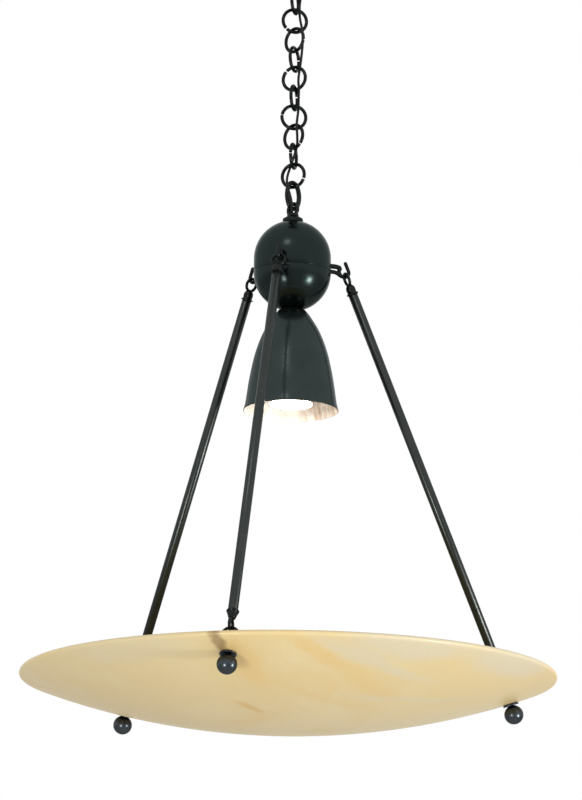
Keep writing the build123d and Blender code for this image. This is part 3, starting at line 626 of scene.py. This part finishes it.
# Polished and lacquered: almost smooth, so that it mirrors the lamps as round lights
ball_bronze = patinated(
    "polished_dark_bronze", "#151F1E", "#202B2A", "#2A2E28", 0.25, 3.0, (0.1, 0.1, 2.5), 0.015
)
finish_piece("upper_shell", upper_shell, ball_bronze, "lamp_body", "dark_bronze", "upper_shell")
finish_piece("lower_shell", lower_shell, ball_bronze, "lamp_body", "dark_bronze", "lower_shell")
refinish(zinc, "hook_hub", "stem_nipple", "stem_nuts", "lamp_bracket", "holder_screws")


# The three hooks are forged: two strands leave the ball one over the other, run together
# and curl up into one J, whose tip stands outside the rod's eye. Softening the skin thins them
# by about 0.1 mm, and they still end about 0.2 mm thicker than the solids.
arm_names = ["right", "left", "front"]
arm_angles = [16.1, 136.1, 256.1]
rod_lean = 0.392964
hook_wire = 4.4
hook_bend = 5.6
hook_trough = Vector((65.4, 0, -443.25))
hook_up = Vector((-math.sin(rod_lean), 0, math.cos(rod_lean)))
hook_out = Vector((math.cos(rod_lean), 0, math.sin(rod_lean)))


def at_hook(along_out, along_up):
    return hook_trough + hook_out * along_out + hook_up * along_up


def bar(points, diameters, smooth=True):
    """A round bar that follows points and changes in thickness from one to the next."""
    line = bpy.data.curves.new("bar", "CURVE")
    line.dimensions = "3D"
    line.bevel_depth = 1.0
    line.bevel_resolution = 5
    line.use_fill_caps = True
    spline = line.splines.new("NURBS" if smooth else "POLY")
    spline.points.add(len(points) - 1)
    for control, point, diameter in zip(spline.points, points, diameters):
        control.co = (*point, 1)
        control.radius = diameter / 2
    if smooth:
        spline.order_u = 3
        spline.use_endpoint_u = True
    carrier = bpy.data.objects.new("bar", line)
    mesh = bpy.data.meshes.new_from_object(carrier)
    shape = bmesh.new()
    shape.from_mesh(mesh)
    bpy.data.meshes.remove(mesh)
    bpy.data.objects.remove(carrier)
    bmesh.ops.remove_doubles(shape, verts=shape.verts, dist=0.0005)
    bmesh.ops.recalc_face_normals(shape, faces=shape.faces)
    return shape


bend_points = [
    at_hook(-hook_bend * math.cos(math.radians(a)), hook_bend - hook_bend * math.sin(math.radians(a)))
    for a in range(0, 181, 12)
]
j_points = bend_points + [at_hook(hook_bend, 10.0), at_hook(hook_bend, 15.3)]
high, low = -431.5, -438.15
upper_strand = [
    (43.0, 0, high), (48.0, 0, high), (53.5, 0, high - 0.1), (58.6, 0, high - 1.2),
    at_hook(-hook_bend - 0.4, 9.0),
    at_hook(-hook_bend, 6.2), at_hook(-hook_bend, 4.6),
]
lower_strand = [
    (43.0, 0, low), (48.0, 0, low), (52.4, 0, low - 0.3), (56.2, 0, low - 2.2), at_hook(-6.2, 3.6),
    at_hook(-4.0, 1.6), at_hook(-1.6, 0.2),
]
tip = bmesh.new()
bmesh.ops.create_uvsphere(
    tip, u_segments=24, v_segments=16, radius=hook_wire / 2,
    matrix=Matrix.Translation(at_hook(hook_bend, 15.35)),
)
forged_hook = cast(
    join(
        bar(j_points, [hook_wire] * len(j_points), False),
        bar(upper_strand, [6.0, 5.9, 5.7, 5.3, 4.9, 4.5, 4.4]),
        bar(lower_strand, [5.2, 5.1, 4.9, 4.7, 4.4, 4.1, 3.9]),
        tip,
    ),
    0.3,
    4,
)

# Forged and blackened: hammer marks about 4 mm wide under the finish
forged_bronze = patinated(
    "forged_dark_bronze", "#121615", "#212625", "#443E32", 0.32, 4.0, (1, 1, 1), 0.45
)
for name, angle in zip(arm_names, arm_angles):
    hook = forged_hook.copy()
    bmesh.ops.transform(hook, matrix=Matrix.Rotation(math.radians(angle), 4, "Z"), verts=hook.verts)
    finish_piece(f"{name}_hook", hook, forged_bronze, "lamp_body", "dark_bronze", f"{name}_hook")
forged_hook.free()


# The shade is a tall bell spun from brass. Outside it is dark, a little greyer than the ball,
# and inside it is brushed with cream enamel, whose strokes run down towards the mouth.
ball_bottom = -488.8
shade_outline = [
    (12.7, -1.2), (17.0, 2.0), (25.0, 13.2), (32.0, 25.4), (37.3, 37.6), (41.4, 49.8), (44.6, 62.0),
    (49.3, 86.4), (52.8, 110.8), (55.1, 120.5),
]
shade_wall = 1.2
enamel_cream = "#F5F0E8"
enamel_peach = "#CBAF99"
outer_wall = through([(r, ball_bottom - drop) for r, drop in shade_outline], 7)
inner_wall = through([(r - shade_wall, ball_bottom - drop) for r, drop in shade_outline[2:]], 7)
lip_z = outer_wall[-1][1] + shade_wall / 2
lip = arc((outer_wall[-1][0] - shade_wall / 2, lip_z), shade_wall / 2, 0, -180, 8)
shade = spun(
    [(5.2, ball_bottom), (12.0, ball_bottom + 1.0)]
    + outer_wall[:-1]
    + lip
    + inner_wall[:-1][::-1]
    + [(17.5, ball_bottom - 3.6), (15.5, ball_bottom - 1.6), (5.2, ball_bottom - 1.5)],
    128,
)

# Brushed enamel: satin, thin and peach-coloured in strokes; more peach towards +X is painted shade
enamel, enamel_shader, place = new_finish(
    "brushed_cream_enamel", Roughness=0.42, Specular_IOR_Level=0.45, Coat_Weight=0.1
)
strokes_place = add(enamel, "Mapping", {"Vector": place, "Scale": (1, 1, 0.06)})
strokes = add(enamel, "TexNoise", {"Vector": strokes_place.outputs[0], "Scale": 1000 / 5, "Detail": 5})
patches = add(enamel, "TexNoise", {"Vector": place, "Scale": 1000 / 34, "Detail": 2})
stroke_share = add(
    enamel, "MapRange", {"Value": strokes.outputs["Fac"], "From Min": 0.34, "From Max": 0.66}
)
across = add(enamel, "SeparateXYZ", {"Vector": place})
# Painted shade: the peach strokes are strongest on the +X side of the inside
painted_shade_side = add(
    enamel,
    "MapRange",
    {"Value": across.outputs["X"], "From Min": 0.002, "From Max": 0.036, "To Min": 0.2},
)
patch_share = add(
    enamel, "Math", {0: patches.outputs["Fac"], 1: painted_shade_side.outputs[0], 2: painted_shade_side.outputs[0]},
    operation="MULTIPLY_ADD", use_clamp=True,
)
streak = add(
    enamel, "Math", {0: stroke_share.outputs[0], 1: patch_share.outputs[0]}, operation="MULTIPLY"
)
enamel_colour = add(
    enamel, "Mix", {0: streak.outputs[0], 6: enamel_cream, 7: enamel_peach}, data_type="RGBA"
)
enamel_relief = add(
    enamel, "Bump", {"Height": strokes.outputs["Fac"], "Strength": 0.3, "Distance": 0.0002}
)
enamel.node_tree.links.new(enamel_colour.outputs[2], enamel_shader.inputs["Base Color"])
enamel.node_tree.links.new(enamel_relief.outputs[0], enamel_shader.inputs["Normal"])

# Spun and lacquered as the ball is, but greyer and a little duller
shade_bronze = patinated(
    "spun_shade_bronze", "#242D2D", "#353E3E", "#403F37", 0.3, 3.0, (0.1, 0.1, 2.5), 0.012
)
# The faces that look inwards below the crown are enamelled
for face in shade.faces:
    middle = face.calc_center_median()
    if face.normal.dot(Vector((middle.x, middle.y, 0))) < 0 and middle.z < ball_bottom - 1.4:
        face.material_index = 1
finish_piece("shade", shade, [shade_bronze, enamel], "lamp_body", "shade_bronze", "shade")


# The lamp is a 50 mm reflector lamp: a pressed glass cone with a bright coating, a stippled
# front glass that glows when lit, and two pins in a porcelain holder under the bracket.
lamp_face_z = -600.8
lamp_base_z = -552.8
lamp_glow = "#FFFAF2"
reflector = spun(
    [(23.5, lamp_face_z), (25.0, lamp_face_z), (25.0, lamp_face_z + 3.0)]
    + through(
        [(25.0, lamp_face_z + 3.0), (24.0, lamp_face_z + 9.0), (20.4, lamp_face_z + 18.0),
         (16.5, lamp_face_z + 25.0), (13.0, lamp_face_z + 30.0)]
    )
    + [(10.6, lamp_face_z + 31.5), (10.0, lamp_face_z + 33.0), (10.0, lamp_base_z - 0.5),
       (9.5, lamp_base_z), (0, lamp_base_z), (0, lamp_face_z + 28.0), (7.0, lamp_face_z + 28.0)]
    + through(
        [(7.0, lamp_face_z + 28.0), (13.0, lamp_face_z + 22.0), (18.0, lamp_face_z + 15.0),
         (21.5, lamp_face_z + 7.0), (23.5, lamp_face_z)]
    )[:-1],
    96,
)
pins = bmesh.new()
for x in (-5, 5):
    bmesh.ops.create_cone(
        pins, cap_ends=True, segments=20, radius1=1.3, radius2=1.3, depth=7,
        matrix=Matrix.Translation((x, 0, lamp_base_z + 2.5)),
    )

# Aluminised glass: a bright mirror, pressed into facets 3.5 mm wide
coated, coated_shader, place = new_finish("aluminised_pressed_glass", Metallic=1.0)
facets = add(coated, "TexVoronoi", {"Vector": place, "Scale": 1000 / 3.5})
coated_tone = add(
    coated, "Mix", {0: facets.outputs["Distance"], 6: "#C9C6BE", 7: "#ECE9E1"}, data_type="RGBA"
)
coated_relief = add(
    coated, "Bump", {"Height": facets.outputs["Distance"], "Strength": 0.4, "Distance": 0.0004}
)
coated_shader.inputs["Roughness"].default_value = 0.22
coated.node_tree.links.new(coated_tone.outputs[2], coated_shader.inputs["Base Color"])
coated.node_tree.links.new(coated_relief.outputs[0], coated_shader.inputs["Normal"])
finish_piece("lamp", join(reflector, pins), coated, "lamp_body", "lamp_reflector", "lamp")

lens = spun(
    [(0, lamp_face_z), (24.5, lamp_face_z), (24.5, lamp_face_z - 0.9), (24.0, lamp_face_z - 1.4),
     (23.2, lamp_face_z - 1.5), (0, lamp_face_z - 1.5)],
    96,
)

# The front glass glows from behind, through dimples 2.2 mm wide
lit, lit_shader, place = new_finish(
    "lit_stippled_glass", Base_Color="#F4F1EA", Roughness=0.3, Emission_Strength=14.0
)
stipple = add(lit, "TexVoronoi", {"Vector": place, "Scale": 1000 / 2.2})
glow = add(
    lit, "Mix", {0: stipple.outputs["Distance"], 6: lamp_glow, 7: "#FFF1DA"}, data_type="RGBA"
)
stipple_relief = add(
    lit, "Bump", {"Height": stipple.outputs["Distance"], "Strength": 0.5, "Distance": 0.0004}
)
lit.node_tree.links.new(glow.outputs[2], lit_shader.inputs["Emission Color"])
lit.node_tree.links.new(stipple_relief.outputs[0], lit_shader.inputs["Normal"])
finish_piece("lamp_lens", lens, lit, "lamp_body", "lamp_glass", "lamp_lens")

# Glazed porcelain: white and glossy, a little uneven from the kiln
porcelain, porcelain_shader, place = new_finish(
    "glazed_porcelain", Roughness=0.18, Coat_Weight=0.3, Coat_Roughness=0.08
)
kiln = add(porcelain, "TexNoise", {"Vector": place, "Scale": 1000 / 15, "Detail": 3})
glaze = add(porcelain, "Mix", {0: kiln.outputs["Fac"], 6: "#E9E6DC", 7: "#F4F2EC"}, data_type="RGBA")
porcelain.node_tree.links.new(glaze.outputs[2], porcelain_shader.inputs["Base Color"])
refinish(porcelain, "lamp_holder")


# Each rod is a drawn brass tube with a turned fitting brazed into both ends. The fitting's
# eye hangs on the hook above, and on the bolt's ring below, where the eye is turned square.
rod_diameter = 11.0
rod_length = 495.4
upper_eye_drop = 3.25
eye_mid_radius = 7.35
eye_wire = 3.5
upper_fitting = 19.0
lower_fitting = 18.0


def rod_matrix(angle, along):
    """The place on one arm's rod, that far below the hook's trough, with Z up the rod."""
    return (
        Matrix.Rotation(math.radians(angle), 4, "Z")
        @ Matrix.Translation(
            (hook_trough.x + along * math.sin(rod_lean), 0, hook_trough.z - along * math.cos(rod_lean))
        )
        @ Matrix.Rotation(-rod_lean, 4, "Y")
    )


def eye_fitting(sign, length, neck_points):
    """A turned fitting, from its neck at the eye to its end on the tube, with the eye's ring."""
    lip = [
        (6.5, length - 1.7), (6.85, length - 1.55), (7.0, length - 1.2), (7.0, length - 0.5),
        (6.85, length - 0.15), (6.5, length),
    ]
    outline = neck_points + lip + [(5.0, length), (4.4, length + 4), (0, length + 4)]
    body = spun([(r, sign * z) for r, z in outline], 48)
    ring = wire_ring(eye_mid_radius, eye_wire, 56, 18)
    if sign < 0:
        quarter_turn = Matrix.Rotation(math.pi / 2, 3, "Z")
        bmesh.ops.rotate(ring, verts=ring.verts, cent=(0, 0, 0), matrix=quarter_turn)
    return join(body, ring)


# Drawn tube: fine lines run along it, and the brown patina is thin on the ridges
rod_bronze = patinated(
    "drawn_brown_bronze", "#2A3130", "#3D3F3C", "#5E584F", 0.32, 2.4, (2.0, 2.0, 0.05), 0.15
)
upper_neck = [
    (0, 6.2), (2.6, 6.5), (3.7, 7.6), (4.7, 9.0), (5.3, 10.3), (5.6, 11.8), (5.6, 14.4), (5.35, 14.7),
    (5.35, 15.3), (5.6, 15.6), (5.6, 17.3),
]
lower_neck = [(0, 6.2), (2.6, 6.5), (3.7, 8.2), (4.5, 10.2), (5.4, 13.0), (6.2, 16.0)]
for name, angle in zip(arm_names, arm_angles):
    body = f"{name}_rod"
    top_eye = rod_matrix(angle, upper_eye_drop)
    low_eye = rod_matrix(angle, upper_eye_drop + rod_length)
    upper = eye_fitting(-1, upper_fitting, upper_neck)
    bmesh.ops.transform(upper, matrix=top_eye, verts=upper.verts)
    eye_name = f"{name}_rod_upper_eye"
    finish_piece(eye_name, upper, forged_bronze, body, "rod_bronze", eye_name)
    lower = eye_fitting(1, lower_fitting, lower_neck)
    bmesh.ops.transform(lower, matrix=low_eye, verts=lower.verts)
    eye_name = f"{name}_rod_lower_eye"
    finish_piece(eye_name, lower, forged_bronze, body, "rod_bronze", eye_name)
    tube = spun(
        [(4.45, -upper_fitting), (rod_diameter / 2 - 0.3, -upper_fitting),
         (rod_diameter / 2, -upper_fitting - 0.3), (rod_diameter / 2, lower_fitting - rod_length + 0.3),
         (rod_diameter / 2 - 0.3, lower_fitting - rod_length),
         (4.45, lower_fitting - rod_length)],
        48,
    )
    bmesh.ops.transform(tube, matrix=top_eye, verts=tube.verts)
    finish_piece(f"{name}_rod_tube", tube, rod_bronze, body, "rod_bronze", f"{name}_rod_tube")


# The bowl is a shallow dish slumped from stone-like amber glass, 6 mm thick, with its rim
# fire polished round. Cream and honey clouds run through it, with a few grey and amber streaks.
bowl_wall = 6.0
bowl_edge_radius = 301.5
bowl_middle_curve = 859.738
bowl_outer_curve = bowl_middle_curve + bowl_wall / 2
bowl_inner_curve = bowl_middle_curve - bowl_wall / 2
bowl_centre_z = -115.4188
rim_angle = math.degrees(math.asin(bowl_edge_radius / bowl_middle_curve))
rim_centre = (
    bowl_edge_radius,
    bowl_centre_z - bowl_middle_curve * math.cos(math.radians(rim_angle)),
)
flow_turn = math.radians(-25)
bowl = spun(
    arc((0, bowl_centre_z), bowl_outer_curve, -90, -90 + rim_angle, 40)
    + arc(rim_centre, bowl_wall / 2, -90 + rim_angle, 90 + rim_angle, 10)[1:-1]
    + arc((0, bowl_centre_z), bowl_inner_curve, -90 + rim_angle, -90, 40),
    192,
)

# Slumped glass: satin and cloudy. Clouds are about 120 by 240 mm, veins about 75 by 150 mm
glass_base = "#D7C08B"
glass_cream = "#DAC99C"
glass_amber = "#D8B775"
glass_grey = "#CDC5AD"
front_bolt_painted_shadow = "#957A50"
glass, glass_shader, place = new_finish(
    "amber_stone_glass", Roughness=0.36, Specular_IOR_Level=0.3, Coat_Weight=0.05, IOR=1.5
)
warp = add(glass, "TexNoise", {"Vector": place, "Scale": 5.0, "Detail": 2})
push = add(
    glass, "VectorMath", {0: warp.outputs["Color"], 1: (0.22, 0.16, 0.12)}, operation="MULTIPLY"
)
flow = add(glass, "VectorMath", {0: place, 1: push.outputs[0]}, operation="ADD")
long_way = add(
    glass, "Mapping", {"Vector": flow.outputs[0], "Rotation": (0, 0, flow_turn), "Scale": (2.6, 1.3, 1)}
)
clouds = add(
    glass, "TexNoise", {"Vector": long_way.outputs[0], "Scale": 3.2, "Detail": 4, "Roughness": 0.5}
)
cream_share = add(
    glass,
    "MapRange",
    {"Value": clouds.outputs["Fac"], "From Min": 0.45, "From Max": 0.68, "To Max": 0.9},
)
cream = add(
    glass, "Mix", {0: cream_share.outputs[0], 6: glass_base, 7: glass_cream}, data_type="RGBA"
)
veins = add(
    glass, "TexNoise", {"Vector": long_way.outputs[0], "Scale": 5.2, "Detail": 6, "Roughness": 0.6}
)
amber_share = add(
    glass, "MapRange", {"Value": veins.outputs["Fac"], "From Min": 0.56, "From Max": 0.76, "To Max": 0.7}
)
amber = add(
    glass, "Mix", {0: amber_share.outputs[0], 6: cream.outputs[2], 7: glass_amber}, data_type="RGBA"
)

# Streaks of other glass and one painted shadow, each from one point of the bowl to another, in mm
ripple = add(glass, "TexNoise", {"Vector": place, "Scale": 14.0, "Detail": 4})
ripple_push = add(
    glass, "VectorMath", {0: ripple.outputs["Color"], 1: (0.036, 0.036, 0), 2: (-0.018, -0.018, 0)},
    operation="MULTIPLY_ADD",
)
streak_place = add(glass, "VectorMath", {0: place, 1: ripple_push.outputs[0]}, operation="ADD")
swirled = amber
for start, end, width, colour, strength in (
    ((60, -292), (205, -222), 40, glass_grey, 0.7),
    ((205, -222), (286, -96), 44, glass_grey, 0.75),
    ((-110, -280), (-240, -180), 40, glass_grey, 0.35),
    ((30, -298), (150, -170), 16, glass_grey, 0.55),
    ((70, -150), (210, -60), 12, glass_grey, 0.45),
    ((-4, -306), (64, -232), 15, glass_amber, 0.6),
    ((52, -245), (122, -112), 18, glass_amber, 0.5),
    ((-20, -200), (90, -90), 14, glass_amber, 0.4),
    ((-56, -290), (-28, -180), 24, glass_amber, 0.75),
    ((-54, -120), (-30, -88), 8, "#CFA257", 0.7),
    # Painted shadow of the front bolt's washers and nut, showing through the glass
    ((-84, -304), (-62, -258), 8, front_bolt_painted_shadow, 0.9),
):
    run = Vector(end) - Vector(start)
    middle = (Vector(start) + Vector(end)) / 2
    placed = add(
        glass,
        "Mapping",
        {
            "Vector": streak_place.outputs[0],
            "Location": (middle.x / 1000, middle.y / 1000, -0.95),
            "Rotation": (0, 0, math.atan2(run.y, run.x)),
            "Scale": (run.length * 0.75 / 1000, width / 1000, 10),
        },
        vector_type="TEXTURE",
    )
    soft = add(glass, "TexGradient", {"Vector": placed.outputs[0]}, gradient_type="SPHERICAL")
    share = add(
        glass, "MapRange", {"Value": soft.outputs["Fac"], "From Max": 0.7, "To Max": strength},
        interpolation_type="SMOOTHSTEP",
    )
    swirled = add(
        glass, "Mix", {0: share.outputs[0], 6: swirled.outputs[2], 7: colour}, data_type="RGBA"
    )

# Fine flow lines, about 5 mm apart, and the slow waves that slumping leaves in the skin
fine_way = add(
    glass, "Mapping", {"Vector": flow.outputs[0], "Rotation": (0, 0, flow_turn), "Scale": (3, 0.8, 1)}
)
fine = add(glass, "TexNoise", {"Vector": fine_way.outputs[0], "Scale": 1000 / 14, "Detail": 4})
fine_share = add(
    glass, "MapRange", {"Value": fine.outputs["Fac"], "From Min": 0.35, "From Max": 0.75, "To Max": 0.16}
)
stone = add(
    glass, "Mix", {0: fine_share.outputs[0], 6: swirled.outputs[2], 7: "#CDB27A"}, data_type="RGBA"
)
waves = add(glass, "TexNoise", {"Vector": place, "Scale": 1000 / 60, "Detail": 2})
glass_relief = add(
    glass, "Bump", {"Height": waves.outputs["Fac"], "Strength": 0.25, "Distance": 0.001}
)
glass.node_tree.links.new(stone.outputs[2], glass_shader.inputs["Base Color"])
glass.node_tree.links.new(glass_relief.outputs[0], glass_shader.inputs["Normal"])
finish_piece("bowl", bowl, glass, "bowl", "amber_glass", "bowl")


# Each rod's lower eye holds the ring of an eye bolt. The bolt goes down through the glass,
# between rubber and metal washers, and a ball finial screws on under the bowl.
bolt_circle = 267.0
bolt_z = -935.8018
bolt_tilt = 0.314646
bolt_diameter = 4.8
bolt_ring_mid = 9.0
bolt_ring_height = 15.4
finial_radius = 11.1
finial_centre = -13.4
flange_bottom = -2.6
washer_bore = 2.6
nut_corner_radius = 4.62


def at_bolts(shape):
    """Three of one shape, one at each bolt, with Z along the bolt into the bowl."""
    copies = []
    for angle in arm_angles:
        one = shape.copy()
        place = (
            Matrix.Rotation(math.radians(angle), 4, "Z")
            @ Matrix.Translation((bolt_circle, 0, bolt_z))
            @ Matrix.Rotation(-bolt_tilt, 4, "Y")
        )
        bmesh.ops.transform(one, matrix=place, verts=one.verts)
        copies.append(one)
    shape.free()
    return join(*copies)


shank = spun(
    [(0, 14.0), (1.8, 14.0), (2.2, 12.6), (bolt_diameter / 2, 11.2), (bolt_diameter / 2, -16.0),
     (0, -16.0)],
    32,
)
bolt_ring = wire_ring(bolt_ring_mid, eye_wire, 64, 18)
bmesh.ops.transform(
    bolt_ring,
    matrix=Matrix.Translation((0, 0, bowl_wall + bolt_ring_height))
    @ Matrix.Rotation(math.pi / 2, 4, "Z"),
    verts=bolt_ring.verts,
)
bolts = at_bolts(join(shank, bolt_ring))
finish_piece("eye_bolts", bolts, forged_bronze, "bowl", "dark_bronze", "eye_bolts")

# Rubber: matt black with a faint grey bloom
rubber, rubber_shader, place = new_finish("black_rubber", Specular_IOR_Level=0.3)
bloom = add(rubber, "TexNoise", {"Vector": place, "Scale": 1000 / 3, "Detail": 5})
rubber_tone = add(rubber, "Mix", {0: bloom.outputs["Fac"], 6: "#141414", 7: "#242321"}, data_type="RGBA")
rubber_rough = add(rubber, "MapRange", {"Value": bloom.outputs["Fac"], "To Min": 0.6, "To Max": 0.85})
rubber.node_tree.links.new(rubber_tone.outputs[2], rubber_shader.inputs["Base Color"])
rubber.node_tree.links.new(rubber_rough.outputs[0], rubber_shader.inputs["Roughness"])


def washer(radius, bore, bottom, top, edge):
    return spun(
        [(bore, bottom), (radius - edge, bottom), (radius - edge * 0.3, bottom + edge * 0.3),
         (radius, bottom + edge), (radius, top - edge), (radius - edge * 0.3, top - edge * 0.3),
         (radius - edge, top), (bore, top)],
        48,
    )


# Lathe-turned and blued: the finials and washers are a touch bluer and greyer than the rods
gunmetal = patinated(
    "turned_gunmetal_bronze", "#343A3F", "#454A4F", "#57534B", 0.28, 2.5, (1, 1, 1), 0.12
)
for name, radius, bottom, top, edge, material, slot in (
    ("inner_gaskets", 8.0, 6.05, 7.05, 0.3, rubber, "black_rubber"),
    ("inner_washers", 7.0, 7.05, 8.25, 0.25, gunmetal, "dark_bronze"),
    ("outer_gaskets", 8.0, -0.8, 0.0, 0.25, rubber, "black_rubber"),
    ("flange_washers", 9.25, flange_bottom, -0.8, 0.4, gunmetal, "dark_bronze"),
):
    discs = at_bolts(washer(radius, washer_bore, bottom, top, edge))
    finish_piece(name, discs, material, "bowl", slot, name)

nut = bmesh.new()
bmesh.ops.create_cone(
    nut, cap_ends=True, segments=6, radius1=nut_corner_radius, radius2=nut_corner_radius, depth=2.2,
    matrix=Matrix.Translation((0, 0, 9.35)),
)
bmesh.ops.bevel(
    nut, geom=nut.edges[:], offset=0.25, affect="EDGES", segments=2, profile=0.5, material=-1
)
finish_piece("bowl_nuts", at_bolts(nut), gunmetal, "bowl", "dark_bronze", "bowl_nuts")

flat = math.degrees(math.asin((flange_bottom - finial_centre) / finial_radius))
finial = spun(
    [(0, flange_bottom)]
    + [(finial_radius * math.cos(math.radians(flat)) - 0.3, flange_bottom)]
    + arc((0, finial_centre), finial_radius, flat - 2, -90, 28),
    64,
)
finish_piece("finial_balls", at_bolts(finial), gunmetal, "bowl", "dark_bronze", "finial_balls")


# The studio: a pale floor under the lamp, a white room all round, and three soft lamps whose
# reflections are the round highlights on the ball and on the finials.
floor_height = -2.4
floor_shape = bmesh.new()
bmesh.ops.create_grid(floor_shape, x_segments=1, y_segments=1, size=60)
floor_mesh = bpy.data.meshes.new("floor")
floor_shape.to_mesh(floor_mesh)
floor_shape.free()
floor_mesh.transform(Matrix.Translation((0, 0, floor_height)))
floor = bpy.data.objects.new("floor", floor_mesh)
bpy.context.collection.objects.link(floor)
pale = new_finish("pale_floor", Base_Color="#F5F4F1", Roughness=0.9)[0]
floor_mesh.materials.append(pale)

room = bpy.data.worlds.new("white_room")
bpy.context.scene.world = room
room.use_nodes = True
background = room.node_tree.nodes["Background"]
background.inputs["Color"].default_value = (1, 1, 1, 1)
rays = add(room, "LightPath")
seen = add(
    room, "Math", {0: rays.outputs["Is Camera Ray"], 1: rays.outputs["Is Glossy Ray"]}, operation="ADD"
)
shown = add(
    room,
    "Math",
    {0: seen.outputs[0], 1: rays.outputs["Is Transmission Ray"]},
    operation="ADD",
    use_clamp=True,
)
level = add(room, "MapRange", {"Value": shown.outputs[0], "To Min": 0.61, "To Max": 1.0})
room.node_tree.links.new(level.outputs[0], background.inputs["Strength"])


def soft_lamp(name, place, aim, size, watts):
    """A square soft box that faces the point it is aimed at."""
    light = bpy.data.lights.new(name, "AREA")
    light.size = size
    light.energy = watts
    box = bpy.data.objects.new(name, light)
    box.matrix_world = Matrix.Translation(place) @ (
        (Vector(aim) - Vector(place)).to_track_quat("-Z", "Y").to_matrix().to_4x4()
    )
    box.visible_camera = False
    bpy.context.collection.objects.link(box)


lamp_middle = (0, 0, -0.5)
soft_lamp("key", (1.58, -0.92, -1.35), lamp_middle, 0.42, 22)
soft_lamp("low_fill", (-0.73, -1.61, -1.46), lamp_middle, 0.38, 13)
soft_lamp("high_fill", (-0.5, -1.57, 0.78), lamp_middle, 0.45, 4.2)
